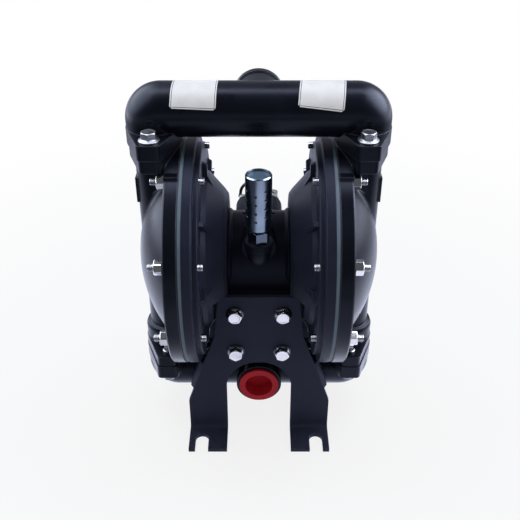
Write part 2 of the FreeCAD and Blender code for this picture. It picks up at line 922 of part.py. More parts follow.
def make_centre_body():
    """The block between the two air caps: round over the shaft, straight-sided below."""
    bottom = bracket_bolt_low - body_bottom
    barrel = rod(
        body_radius,
        Vector(-hub_face, 0, shaft_height),
        Vector(hub_face, 0, shaft_height),
    )
    neck = Part.makeBox(
        2 * hub_face,
        2 * body_radius,
        shaft_height - bottom,
        Vector(-hub_face, -body_radius, bottom),
    )
    trunk = Part.makeBox(
        2 * hub_face,
        2 * trunk_depth,
        bracket_top_height - bottom,
        Vector(-hub_face, -trunk_depth, bottom),
    )
    ledges = [e for e in trunk.Edges if e.BoundBox.ZMin > bracket_top_height - 0.01]
    ledges = [e for e in ledges if e.BoundBox.YLength < 0.01]
    trunk = trunk.makeChamfer(trunk_depth - body_radius - 1.0, ledges)
    collar = turned_on_shaft(
        (hub_face - body_flange_width, 0),
        [
            (hub_face - body_flange_width, body_radius - 1.0),
            (hub_face - body_flange_width + 3.0, body_flange_radius),
            (hub_face, body_flange_radius),
            (hub_face, 0),
        ],
    )
    pad = rounded_block(valve_width, valve_height, body_radius - 8.0, valve_corner)
    pad.translate(Vector(0, 8.0, shaft_height))
    boss = rod(14.0, exhaust_point(-8.0), exhaust_point(-body_radius - 1.0))
    body = barrel.fuse([neck, trunk, collar, mirrored(collar), pad, boss]).removeSplitter()
    return body.cut(centre_body_cuts()).removeSplitter()


def exhaust_point(y):
    """A point on the line of the exhaust port."""
    return Vector(0, y, shaft_height + exhaust_height)


def centre_body_cuts():
    """Every bore and hole of the centre body."""
    reach = hub_face + 1
    shaft_bore = rod(
        shaft_radius + bush_wall,
        Vector(-reach, 0, shaft_height),
        Vector(reach, 0, shaft_height),
    )
    pilot = pilot_bore(pilot_radius + 2.0, -reach, reach)
    crown = shaft_height + body_radius
    crown_holes = [
        rod(crown_hole_radius, Vector(x, crown_hole_back, crown - 9.0), Vector(x, crown_hole_back, crown + 1))
        for x in (-crown_hole_spacing / 2, crown_hole_spacing / 2)
    ]
    exhaust = rod(exhaust_thread(), exhaust_point(-body_radius - 2), exhaust_point(-body_radius + 10))
    cuts = [shaft_bore, pilot, exhaust] + crown_holes
    cuts += bracket_holes(-trunk_depth - 1, 15.0) + bracket_holes(trunk_depth - 14.0, 15.0)
    cuts += [
        rod(2.5 + thread_fit, Vector(x, body_radius - 9.0, z), Vector(x, body_radius + 1, z))
        for x, z in valve_screw_points()
    ]
    cuts += [
        rod(
            stud_radius + thread_fit,
            Vector(side * (hub_face - 13.0), y, shaft_height + z),
            Vector(side * reach, y, shaft_height + z),
        )
        for side in (-1, 1)
        for y, z in cap_screw_points()
    ]
    return cuts


def make_cap_screws():
    """The four hexagon screws inside the right-hand air chamber."""
    head = hub_face + air_cap_wall
    screws = [
        placed(
            hexagon(8.0, 3.6).fuse(rod(stud_radius, Vector(0, 0, 0), Vector(0, 0, -16.0))),
            Vector(head, y, shaft_height + z),
            RIGHT,
        )
        for y, z in cap_screw_points()
    ]
    return screws


def bracket_holes(start, depth):
    """Four holes along Y for the screws of one foot bracket."""
    half = bracket_bolt_spacing / 2
    return [
        rod(bracket_bolt_radius + thread_fit, Vector(x, start, z), Vector(x, start + depth, z))
        for x in (-half, half)
        for z in (bracket_bolt_low, bracket_bolt_top)
    ]


def make_stud():
    """A stud screwed into the air cap, from its blunt inner end to its tip past the nut."""
    length = fluid_rim_face + stud_nut_height + stud_tip - stud_start()
    bar = Part.makeCylinder(stud_radius, length, Vector(0, 0, stud_start()))
    ends = [e for e in bar.Edges if e.isClosed()]
    return bar.makeChamfer(0.7, ends)


def stud_start():
    return bead_face - air_flange_depth - stud_back


def make_stud_nut():
    piece = nut(stud_nut_width, stud_nut_height, stud_radius + thread_fit)
    piece.translate(Vector(0, 0, fluid_rim_face))
    return piece


def manifold_bolt(direction, side):
    """A flanged bolt through a manifold ear and a fluid cap ear."""
    level = joint_top + manifold_flange_height
    if direction < 0:
        level = joint_bottom - manifold_flange_height
    length = manifold_flange_height + cap_flange_height - 1.0
    if direction < 0:
        length += 3.5
    screw = flanged_screw(
        flange_bolt_width, flange_bolt_head, flange_bolt_collar, 2.0, bracket_bolt_radius, length
    )
    return placed(screw, Vector(riser_x, side * ear_offset, level), Vector(0, 0, direction))


def all_corners(maker, direction):
    """The four copies of a fastener that hold one manifold."""
    pieces = [maker(direction, side) for side in (-1, 1)]
    return pieces + [mirrored(piece) for piece in pieces]


def make_bracket():
    """The front foot: a plate folded from sheet, with an arch over the port and two slotted feet."""
    back = -trunk_depth
    plate = bracket_sheet(back)
    feet = [bracket_foot(back, side) for side in (-1, 1)]
    flanges = [bracket_flange(back, side) for side in (-1, 1)]
    arch_height = inlet_height + bracket_arch_rise
    arch = rod(
        bracket_arch_radius,
        Vector(0, back - bracket_thickness - 1, arch_height),
        Vector(0, back + 1, arch_height),
    )
    gap = Part.makeBox(
        2 * bracket_arch_radius,
        2 * bracket_foot_reach + 20,
        arch_height + 1,
        Vector(-bracket_arch_radius, back - bracket_foot_reach - 20, -1),
    )
    body = plate.fuse(feet + flanges)
    holes = bracket_holes(back - bracket_thickness - 1, bracket_thickness + 2)
    return body.cut([arch, gap] + holes).removeSplitter()


def bracket_sheet(back):
    """The upright plate of a foot bracket, down to where its feet fold forward."""
    top = bracket_top_width / 2
    waist = bracket_waist_width / 2
    foot = bracket_foot_width / 2
    fold = foot_bend + bracket_thickness
    half = [
        (top - 4.0, bracket_top_height),
        (top - 1.0, bracket_top_height - 1.2),
        (top, bracket_top_height - 4.0),
        (waist, bracket_waist_height),
        (foot, bracket_knee_height),
        (foot, fold),
    ]
    points = half + [(-x, z) for x, z in reversed(half)]
    wire = Part.makePolygon([Vector(x, back, z) for x, z in points + points[:1]])
    return Part.Face(wire).extrude(Vector(0, -bracket_thickness, 0))


def bracket_foot(back, side):
    """One foot: a quarter bend and a flat toe with an open slot."""
    fold = foot_bend + bracket_thickness
    outer = bracket_foot_width / 2
    inner = bracket_arch_radius
    left = min(side * outer, side * inner)
    front = back - bracket_thickness - bracket_foot_reach
    axis = Vector(left, back - fold, fold)
    width = outer - inner
    quarter = Part.makeCylinder(fold, width, axis, RIGHT).cut(
        Part.makeCylinder(foot_bend, width, axis, RIGHT)
    )
    quarter = quarter.common(Part.makeBox(width, fold, fold, Vector(left, back - fold, 0)))
    toe = Part.makeBox(
        width, back - fold - front, bracket_thickness, Vector(left, front, 0)
    )
    return quarter.fuse(toe).cut(foot_slot(front, side)).removeSplitter()


def foot_slot(front, side):
    """An open slot from the front edge of a foot, with a round end."""
    x = side * foot_slot_spacing / 2
    radius = foot_slot_width / 2
    centre = front + foot_slot_depth - radius
    height = bracket_thickness + 2
    end = Part.makeCylinder(radius, height, Vector(x, centre, -1))
    run = Part.makeBox(foot_slot_width, centre - front + 1, height, Vector(x - radius, front - 1, -1))
    return end.fuse(run)


def bracket_flange(back, side):
    """The stiffening edge, folded back along the spreading side of a bracket."""
    waist = Vector(side * bracket_waist_width / 2, back, bracket_waist_height)
    knee = Vector(side * bracket_foot_width / 2, back, bracket_knee_height)
    along = knee - waist
    start = waist + along * 0.42
    end = waist + along * 0.80
    run = end - start
    across = Vector(-run.z, 0, run.x).normalize() * side
    depth = Vector(0, bracket_flange_depth, 0)
    thick = across * (bracket_thickness * 0.75)
    front = Vector(0, -bracket_thickness, 0)
    points = [start, start + thick, end + thick, end, start]
    wall = Part.Face(Part.makePolygon(points)).extrude(depth)
    wire = [start, start + front, start + thick, start]
    bend = Part.Face(Part.makePolygon(wire)).extrude(run)
    return wall.fuse(bend)


def make_bracket_screws():
    """Four flanged screws that hold the front bracket to the centre body."""
    half = bracket_bolt_spacing / 2
    length = bracket_thickness + bracket_bolt_depth
    screw = flanged_screw(
        bracket_bolt_width, bracket_bolt_head, bracket_bolt_collar, 1.5, bracket_bolt_radius, length
    )
    level = -trunk_depth - bracket_thickness
    return [
        placed(screw, Vector(x, level, z), Vector(0, -1, 0))
        for x in (-half, half)
        for z in (bracket_bolt_low, bracket_bolt_top)
    ]


def exhaust_thread():
    return 8.0


def make_exhaust_elbow():
    """A street elbow that turns the exhaust upward in front of the centre body."""
    bend = exhaust_bend
    front = -muffler_stand_off
    height = shaft_height + exhaust_height
    start = Vector(0, -body_radius - 1.0, height)
    turn_start = Vector(0, front + bend, height)
    turn_mid = Vector(0, front + bend * (1 - math.sqrt(0.5)), height + bend * (1 - math.sqrt(0.5)))
    turn_end = Vector(0, front, height + bend)
    top = Vector(0, front, exhaust_top())
    path = Part.Wire(
        [
            Part.makeLine(start, turn_start),
            Part.Arc(turn_start, turn_mid, turn_end).toShape(),
            Part.makeLine(turn_end, top),
        ]
    )
    body = pipe(path, 9.5)
    lip = rod(10.8, top - Vector(0, 0, 6.0), top)
    root = rod(10.8, start, start - Vector(0, 4.0, 0))
    thread = rod(exhaust_thread() - thread_fit, start, start + Vector(0, 9.0, 0))
    bore = rod(muffler_thread(), top - Vector(0, 0, 7.0), top)
    way = pipe(path, 6.0)
    mouth = rod(6.0, start, start + Vector(0, 9.5, 0))
    return body.fuse([lip, root, thread]).cut([bore, way, mouth]).removeSplitter()


def exhaust_top():
    """Height of the upper face of the exhaust elbow."""
    return shaft_height + exhaust_height + exhaust_bend + exhaust_leg


def muffler_thread():
    return 6.8


def on_muffler(point):
    """A point (radius, height above the elbow) in the upright plane through the muffler."""
    return Vector(point[0], -muffler_stand_off, exhaust_top() + point[1])


def turned_on_muffler(start, steps):
    face = flat_face(start, steps, on_muffler)
    return face.revolve(Vector(0, -muffler_stand_off, 0), UP, 360)


def make_muffler():
    """The silencer can: a hexagon foot, a crimped cone and a drilled tube with a rolled top edge."""
    hex_top = muffler_hex_height
    top = hex_top + 3.0 + muffler_length
    inside = muffler_radius - muffler_wall
    can = turned_on_muffler(
        (muffler_thread() - 1.8, hex_top),
        [
            (muffler_hex_width / 2, hex_top),
            (muffler_radius - 0.4, hex_top + 3.0),
            (muffler_radius, hex_top + 3.6),
            (muffler_radius, top - 0.8),
            (muffler_radius - 0.8, top),
            (inside - 0.2, top),
            (inside - 0.2, top - 1.4),
            (inside, top - 2.0),
            (inside, hex_top + 4.0),
            (muffler_thread() - 1.8, hex_top + 2.0),
        ],
    )
    foot = hexagon(muffler_hex_width, hex_top)
    foot.rotate(Vector(0, 0, 0), UP, muffler_turn)
    foot = placed(foot, on_muffler((0, 0)), UP)
    neck = rod(muffler_thread() - thread_fit, on_muffler((0, -6.0)), on_muffler((0, 0)))
    way = rod(muffler_thread() - 1.8, on_muffler((0, -6.5)), on_muffler((0, hex_top + 1)))
    body = can.fuse([foot, neck]).cut(way)
    return body.cut(muffler_holes(hex_top)).removeSplitter()


def muffler_holes(hex_top):
    """Small vents in upright rows, each row half a step off its neighbours."""
    holes = []
    for column in range(muffler_columns):
        angle = math.radians(-90.0 - 13.0 + 360.0 * column / muffler_columns)
        outward = Vector(math.cos(angle), math.sin(angle), 0)
        stagger = muffler_pitch / 2 * (column % 2)
        for row in range(muffler_rows):
            height = hex_top + 12.0 + stagger + row * muffler_pitch
            start = on_muffler((0, height)) + outward * (muffler_radius - 3.0)
            holes.append(Part.makeCylinder(muffler_hole, 5.0, start, outward))
    return holes


def make_muffler_lid():
    """The disc that closes the silencer just below its rolled edge."""
    top = muffler_hex_height + 3.0 + muffler_length
    radius = muffler_radius - muffler_wall - running_fit
    return rod(radius, on_muffler((0, top - 3.6)), on_muffler((0, top - 2.1)))


def make_muffler_felt():
    """The porous sleeve behind the vents."""
    top = muffler_hex_height + 3.0 + muffler_length
    start = on_muffler((0, muffler_hex_height + 4.4))
    end = on_muffler((0, top - 3.6))
    radius = muffler_radius - muffler_wall - 0.1
    return rod(radius, start, end).cut(rod(radius - 2.0, start, end))


def valve_screw_points():
    """Places (x, z) of the four screws that hold the air valve."""
    inset = 6.6
    x = valve_width / 2 - inset
    z = valve_height / 2 - inset
    return [(a * x, shaft_height + b * z) for a in (-1, 1) for b in (-1, 1)]


def valve_face():
    """Distance behind the middle of the face that the valve block is bolted to."""
    return body_radius + gasket_thickness


def spool_height():
    return shaft_height + valve_height / 2 - 18.5


def air_port_height():
    return shaft_height - valve_height / 2 + 12.0


def on_spool(point):
    """A point (distance from the middle, radius) in the upright plane through the spool."""
    return Vector(point[0], valve_face() + valve_depth / 2, spool_height() + point[1])


def turned_on_spool(start, steps):
    centre = on_spool((0, 0))
    return flat_face(start, steps, on_spool).revolve(centre, RIGHT, 360)


def valve_screw_holes(start, end, radius):
    return [rod(radius, Vector(x, start, z), Vector(x, end, z)) for x, z in valve_screw_points()]


def make_valve_gasket():
    gasket = rounded_block(valve_width, valve_height, gasket_thickness, valve_corner)
    gasket.translate(Vector(0, body_radius, shaft_height))
    return gasket.cut(valve_screw_holes(body_radius - 1, body_radius + 3, 2.5 + hole_clearance))


def make_valve_block():
    """The air valve housing on the back, bored across for the spool and behind for the air port."""
    block = rounded_block(valve_width, valve_height, valve_depth, valve_corner)
    block.translate(Vector(0, valve_face(), shaft_height))
    back = valve_face() + valve_depth
    rim = [e for e in block.Edges if e.BoundBox.YMin > back - 0.01]
    block = block.makeChamfer(1.5, rim)
    reach = valve_width / 2 + 1
    bore = rod(sleeve_radius, on_spool((-reach, 0)), on_spool((reach, 0)))
    port = rod(
        air_port_radius,
        Vector(0, back - air_port_depth, air_port_height()),
        Vector(0, back + 1, air_port_height()),
    )
    feed_y = valve_face() + valve_depth / 2 + 4.0
    feed = rod(2.5, Vector(0, feed_y, air_port_height()), Vector(0, feed_y, spool_height()))
    holes = valve_screw_holes(valve_face() - 1, back + 1, 2.5 + hole_clearance)
    return block.cut([bore, port, feed] + holes).removeSplitter()


def sleeve_half_length():
    return valve_width / 2 - 5.0


def make_valve_sleeve():
    """The ported liner that the spool slides in."""
    half = sleeve_half_length()
    sleeve = rod(sleeve_radius - thread_fit, on_spool((-half, 0)), on_spool((half, 0)))
    bore = rod(spool_radius + running_fit, on_spool((-half, 0)), on_spool((half, 0)))
    slots = [
        Part.makeBox(2.0, 20.0, 3.0, on_spool((x - 1.0, -1.5)) - Vector(0, 10.0, 0))
        for x in (-9.0, 0.0, 9.0)
    ]
    return sleeve.cut([bore] + slots)


def make_spool():
    """The shuttle of the air valve: three lands with waists between them."""
    land = spool_radius
    waist = spool_radius * 0.6
    half = sleeve_half_length() - spool_travel - soft_clearance
    start = (-half, 0)
    steps = [
        (-half, land),
        (-half + 4.0, land),
        (-half + 4.0, waist),
        (-2.5, waist),
        (-2.5, land),
        (2.5, land),
        (2.5, waist),
        (half - 4.0, waist),
        (half - 4.0, land),
        (half, land),
        (half, 0),
    ]
    return turned_on_spool(start, steps)


def make_valve_plug():
    """The plug that closes one end of the spool bore, with a hexagon socket."""
    start = sleeve_half_length()
    end = valve_width / 2 + 1.2
    plug = rod(sleeve_radius - thread_fit, on_spool((start, 0)), on_spool((end, 0)))
    socket = placed(hexagon(6.0, 4.0), on_spool((end - 3.0, 0)), RIGHT)
    return plug.cut(socket)


def make_valve_screws():
    """Four socket screws through the valve block into the centre body."""
    back = valve_face() + valve_depth
    screws = []
    for x, z in valve_screw_points():
        head = rod(4.2, Vector(x, back, z), Vector(x, back + 4.6, z))
        socket = placed(hexagon(4.0, 3.0), Vector(x, back + 2.2, z), BACK)
        shank = rod(2.5, Vector(x, body_radius - 8.0, z), Vector(x, back, z))
        screws.append(head.fuse(shank).cut(socket).removeSplitter())
    return screws


def air_point(y, x=0.0, rise=0.0):
    """A point on the line of the air inlet, or beside it."""
    return Vector(x, y, air_port_height() + rise)


def nipple_face():
    """Where the hexagon of the nipple starts, against the valve block."""
    return valve_face() + valve_depth


def make_air_nipple():
    """A hexagon nipple from the valve block to the shut-off valve."""
    start = nipple_face()
    inner = rod(air_port_radius - thread_fit, air_point(start - 8.0), air_point(start))
    shoulder = start + nipple_hex_length
    hexagon_part = crowned_hexagon(nipple_hex_width, nipple_hex_length, True)
    middle = placed(hexagon_part, air_point(start), BACK)
    outer = rod(air_port_radius - thread_fit, air_point(shoulder), air_point(shoulder + 9.0))
    way = rod(air_way_radius, air_point(start - 10.0), air_point(shoulder + 10.0))
    return middle.fuse([inner, outer]).cut(way).removeSplitter()


def cock_centre():
    """Distance behind the middle of the shut-off valve's stem."""
    return nipple_face() + nipple_hex_length + cock_half_length


def cock_end():
    """Distance behind the middle of the shut-off valve's open end."""
    return cock_centre() + cock_end_length


def make_cock_body():
    """The small ball valve on the air line: two hexagon ends, a round middle, a stem boss."""
    middle = cock_centre()
    start = nipple_face() + nipple_hex_length + 0.2
    end = cock_end()
    hexagon_end = crowned_hexagon(cock_hex_width, cock_hex_length, True)
    near = placed(hexagon_end, air_point(start), BACK)
    far = placed(hexagon_end, air_point(end - cock_hex_length), BACK)
    barrel = rod(9.6, air_point(start + 4.0), air_point(end - 4.0))
    boss = rod(5.5, air_point(middle), air_point(middle, 0.0, cock_boss_height))
    body = barrel.fuse([near, far, boss])
    inlet = rod(air_port_radius, air_point(end - air_port_depth), air_point(end + 1))
    outlet = rod(air_port_radius, air_point(start - 1), air_point(start + 9.0))
    way = rod(air_way_radius, air_point(start), air_point(end))
    hollow = Part.makeSphere(cock_ball_radius + 0.4, air_point(middle))
    stem = rod(cock_stem_radius + 2 * running_fit, air_point(middle), air_point(middle, 0.0, cock_boss_height + 1))
    return body.cut([inlet, outlet, way, hollow, stem]).removeSplitter()


def make_cock_ball():
    """The bored ball of the shut-off valve with its stem, shown shut, across the line."""
    ball = Part.makeSphere(cock_ball_radius, air_point(cock_centre()))
    hole = rod(4.0, air_point(cock_centre(), -8.0), air_point(cock_centre(), 8.0))
    stem = rod(cock_stem_radius, air_point(cock_centre()), air_point(cock_centre(), 0.0, cock_boss_height + 5.0))
    return ball.fuse(stem).cut(hole).removeSplitter()


def lever_height():
    return cock_boss_height + 1.0


def make_cock_lever():
    """The nickel plate of the lever: a hub on the stem and a drilled tail to the right."""
    low = air_point(cock_centre() - cock_lever_width / 2, -7.0, lever_height())
    plate = Part.makeBox(cock_lever_reach + 7.0, cock_lever_width, cock_lever_thickness, low)
    ends = [e for e in plate.Edges if abs(e.tangentAt(e.FirstParameter).z) > 0.9]
    plate = plate.makeFillet(4.0, ends)
    eye = rod(2.2, air_point(cock_centre(), 13.0, 0.0), air_point(cock_centre(), 13.0, 30.0))
    stem = rod(cock_stem_radius + thread_fit, air_point(cock_centre()), air_point(cock_centre(), 0.0, 30.0))
    return plate.cut([eye, stem])


def make_cock_grip():
    """The black bow of the lever: a bent bar from the plate over to the left and down."""
    base = lever_height() + cock_lever_thickness
    points = [(6.2, base + 0.1), (-5.6, base + 11.5), (-17.5, base), (-18.4, base - cock_grip_drop)]
    start, top, left, tip = [air_point(cock_centre(), x, rise) for x, rise in points]
    path = Part.Wire([Part.Arc(start, top, left).toShape(), Part.makeLine(left, tip)])
    return pipe(path, cock_grip_radius)


def make_cock_nut():
    """The nut that holds the lever on its stem."""
    seat = air_point(cock_centre(), 0.0, lever_height() + cock_lever_thickness)
    return placed(nut(cock_nut_width, cock_nut_height, cock_stem_radius + thread_fit), seat, UP)


def make_inlet_plug():
    """The push-in plastic plug that closes the inlet port: a flange round a hollow cup."""
    face = -inlet_reach
    height = inlet_height
    flange = rod(port_plug_flange, Vector(0, face - port_plug_lip, height), Vector(0, face, height))
    cup = rod(
        port_radius - running_fit,
        Vector(0, face - port_plug_lip, height),
        Vector(0, face + port_plug_depth, height),
    )
    hollow = rod(
        port_radius - port_plug_wall,
        Vector(0, face - 3.0, height),
        Vector(0, face + port_plug_depth - 2.5, height),
    )
    return flange.fuse(cup).cut(hollow).removeSplitter()


def turned_to_back(shape):
    """The same piece on the back of the pump."""
    return shape.mirror(Vector(0, 0, 0), BACK)


def save_pair(name, shape):
    """The right-hand piece and its mirror image, each in its own node."""
    save(name + "_right", shape)
    save(name + "_left", mirrored(shape))


def save_housings():
    save("center_body", make_centre_body())
    save_pair("air_cap", make_air_cap())
    save_pair("fluid_cap", make_fluid_cap())
    save_pair("diaphragm", make_diaphragm())
    stop = make_discharge_stop()
    top = make_manifold(outlet_height, 1, outlet_reach).fuse([stop, mirrored(stop)]).removeSplitter()
    save("discharge_manifold", top)
    save("suction_manifold", make_manifold(inlet_height, -1, -inlet_reach))
    save("inlet_plug", make_inlet_plug())


def save_check_valves():
    for name, direction in (("discharge", 1), ("suction", -1)):
        seat_top = joint_top if direction > 0 else joint_bottom + seat_height
        ball = make_ball(ball_at_rest(seat_top))
        ring = make_joint_ring(direction)
        save_pair(name + "_seat", make_seat(seat_top))
        save_pair(name + "_ball", ball)
        save(name + "_joint_rings", ring, mirrored(ring))


def save_core():
    save("diaphragm_shaft", make_shaft())
    save_pair("inner_plate", make_inner_plate())
    save_pair("outer_plate", make_outer_plate())
    for name, piece in (
        ("shaft_nuts", make_shaft_nut()),
        ("shaft_bushes", make_shaft_bush()),
        ("shaft_seals", make_shaft_seal()),
        ("pilot_bushes", make_pilot_bush()),
    ):
        save(name, piece, mirrored(piece))
    save("pilot_rod", make_pilot_rod())


def save_fasteners():
    studs = on_circle(make_stud)
    nuts = on_circle(make_stud_nut)
    screws = make_cap_screws()
    for side, change in (("right", lambda piece: piece), ("left", mirrored)):
        save("rim_studs_" + side, *[change(piece) for piece in studs])
        save("rim_nuts_" + side, *[change(piece) for piece in nuts])
        save("air_cap_screws_" + side, *[change(piece) for piece in screws])
    for name, direction in (("discharge", 1), ("suction", -1)):
        save(name + "_flange_bolts", *all_corners(manifold_bolt, direction))


def save_feet():
    bracket = make_bracket()
    screws = make_bracket_screws()
    save("front_bracket", bracket)
    save("rear_bracket", turned_to_back(bracket))
    save("front_bracket_screws", *screws)
    save("rear_bracket_screws", *[turned_to_back(screw) for screw in screws])


def save_exhaust():
    save("exhaust_elbow", make_exhaust_elbow())
    save("muffler_can", make_muffler())
    save("muffler_lid", make_muffler_lid())
    save("muffler_felt", make_muffler_felt())


def save_air_valve():
    plug = make_valve_plug()
    save("air_valve_gasket", make_valve_gasket())
    save("air_valve_block", make_valve_block())
    save("air_valve_sleeve", make_valve_sleeve())
    save("air_valve_spool", make_spool())
    save("air_valve_plugs", plug, mirrored(plug))
    save("air_valve_screws", *make_valve_screws())
    save("air_nipple", make_air_nipple())
    save("air_cock_body", make_cock_body())
    save("air_cock_ball", make_cock_ball())
    save("air_cock_lever", make_cock_lever())
    save("air_cock_grip", make_cock_grip())
    save("air_cock_nut", make_cock_nut())


os.makedirs("parts", exist_ok=True)
save_housings()
save_check_valves()
save_core()
save_fasteners()
save_feet()
save_exhaust()
save_air_valve()
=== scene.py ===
# %% [markdown]
# A pump that is driven by compressed air. Two domed chambers sit on one shaft, a bent pipe
# joins them above and another below, and the whole stands on two folded feet. The packed
# solids already have the right forms, so this lesson gives them their finishes, adds what
# is too fine for solids, such as threads and stickers, and lights them like a studio photo.

# %% Load the fixed frame
import json
import math

import bpy
import numpy as np
from mathutils import Euler, Matrix, Vector


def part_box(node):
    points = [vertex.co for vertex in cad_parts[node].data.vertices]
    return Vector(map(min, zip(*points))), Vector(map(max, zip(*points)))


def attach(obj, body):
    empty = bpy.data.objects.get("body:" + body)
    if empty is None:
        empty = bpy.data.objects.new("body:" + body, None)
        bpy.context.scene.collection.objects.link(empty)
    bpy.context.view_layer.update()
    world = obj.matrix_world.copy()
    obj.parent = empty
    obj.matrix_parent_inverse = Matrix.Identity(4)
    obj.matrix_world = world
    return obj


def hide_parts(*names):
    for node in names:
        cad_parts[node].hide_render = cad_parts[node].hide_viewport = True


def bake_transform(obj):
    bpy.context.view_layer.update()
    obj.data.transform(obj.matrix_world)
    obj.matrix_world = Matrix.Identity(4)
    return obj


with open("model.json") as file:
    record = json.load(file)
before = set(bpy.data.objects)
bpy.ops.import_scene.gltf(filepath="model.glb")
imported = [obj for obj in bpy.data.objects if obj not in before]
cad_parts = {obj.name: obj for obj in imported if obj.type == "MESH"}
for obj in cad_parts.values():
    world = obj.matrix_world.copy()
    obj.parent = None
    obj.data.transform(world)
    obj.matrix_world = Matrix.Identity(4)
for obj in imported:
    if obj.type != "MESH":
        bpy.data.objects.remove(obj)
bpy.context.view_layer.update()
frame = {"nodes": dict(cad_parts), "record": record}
nodes = frame["nodes"]

# %% [markdown]
# The camera comes first, because every later choice is judged through it. The photo looks
# down on the pump at about 33 degrees from a little over half a metre in front of it, so near
# things are clearly larger than far ones. The place was worked out from the circles of the
# two clamping rims, and the lens from how fast they shrink with distance.

# %% Camera
shaft_height = 0.174
pitch_down = math.radians(33.0)
image_side = 520
focal_pixels = 735.0
camera_place = (0.001, -0.5401, shaft_height + 0.3384)


def add_camera():
    """A camera that looks along +Y, tilted down by the pitch."""
    data = bpy.data.cameras.new("camera")
    data.sensor_width = 36.0
    data.lens = focal_pixels / image_side * data.sensor_width
    camera = bpy.data.objects.new("camera", data)
    tilt = Euler((math.pi / 2 - pitch_down, 0.0, 0.0)).to_matrix()
    camera.matrix_world = Matrix.Translation(camera_place) @ tilt.to_4x4()
    bpy.context.scene.collection.objects.link(camera)
    bpy.context.scene.camera = camera
    return camera


camera = add_camera()
print("camera at", tuple(round(v, 4) for v in camera.location), "lens", round(camera.data.lens, 1))

# %% [markdown]
# A studio photo of a black object needs large soft lamps, because a glossy black surface
# shows only what it mirrors. One wide lamp hangs above and behind, which draws the bright
# line along the top of the pipe. Two low ones lie at the sides, a little behind the pump, and
# light the outer edges of the domes. The floor and the world are plain white to the camera.
# To a mirror they are a studio: a dim room, a white panel high on each side, and a floor that
# is bright beside the pump, so that plated metal and the domes have something to show. The
# floor still takes a shadow near the feet.

# %% Floor, world and lamps
def mesh_object(name, vertices, faces):
    """A new mesh object at the origin from plain arrays."""
    mesh = bpy.data.meshes.new(name)
    mesh.from_pydata([tuple(v) for v in vertices], [], [tuple(f) for f in faces])
    mesh.update()
    thing = bpy.data.objects.new(name, mesh)
    bpy.context.scene.collection.objects.link(thing)
    return thing


def add_node(tree, kind, **values):
    """One shader node. Keys name its properties or, with spaces as underscores, its inputs."""
    made = tree.nodes.new("ShaderNode" + kind)
    for key, value in values.items():
        if hasattr(made, key):
            setattr(made, key, value)
        else:
            made.inputs[key.replace("_", " ")].default_value = value
    return made


def join(tree, output, target):
    """A link from one socket to another."""
    tree.links.new(output, target)


def either_ray(tree, *kinds):
    """1 for light paths of the named kinds and 0 for the rest."""
    path = add_node(tree, "LightPath")
    total = path.outputs[kinds[0]]
    for kind in kinds[1:]:
        larger = add_node(tree, "Math", operation="MAXIMUM")
        join(tree, total, larger.inputs[0])
        join(tree, path.outputs[kind], larger.inputs[1])
        total = larger.outputs[0]
    return total


def studio_white(tree, mirrored, colour):
    """White for the camera, and a colour times a changing strength for mirrors."""
    path = add_node(tree, "LightPath")
    tint = add_node(tree, "VectorMath", operation="SCALE")
    tint.inputs[0].default_value = colour
    mix = add_node(tree, "Mix", data_type="RGBA")
    mix.inputs[7].default_value = (1, 1, 1, 1)
    join(tree, mirrored, tint.inputs["Scale"])
    join(tree, tint.outputs[0], mix.inputs[6])
    join(tree, path.outputs["Is Camera Ray"], mix.inputs[0])
    return mix.outputs[2]


def map_range(tree, value, start, end, low=0.0, high=1.0, easing="LINEAR"):
    """A value between start and end turned into one from low to high."""
    spread = add_node(
        tree, "MapRange", interpolation_type=easing,
        From_Min=start, From_Max=end, To_Min=low, To_Max=high,
    )
    join(tree, value, spread.inputs["Value"])
    return spread.outputs[0]


def smooth_range(tree, value, start, end, low, high):
    """The same, eased at both ends."""
    return map_range(tree, value, start, end, low, high, "SMOOTHSTEP")


def add_up(tree, total, *others):
    """The sum of several outputs."""
    for other in others:
        added = add_node(tree, "Math", operation="ADD")
        join(tree, total, added.inputs[0])
        join(tree, other, added.inputs[1])
        total = added.outputs[0]
    return total


cool = (0.8, 0.86, 1.0)
floor_tint = (0.74, 0.79, 1.0)
floor_side = 4.0
# Four numbers for smooth_range: from and to in metres, and the strength at each.
seen_near_to_far = (0.25, 0.75, 0.82, 1.0)
beside_front_to_back = (-0.2, 0.02, 0.1, 1.0)
beside_near_to_far = (0.2, 0.8, 2.1, 0.6)
front_patch = (0.2, 0.4, 1.2, 0.0)
front_patch_middle = (0.12, -0.4, 0.0)
far_sides = (0.9, 1.9, 0.0, 1.7)


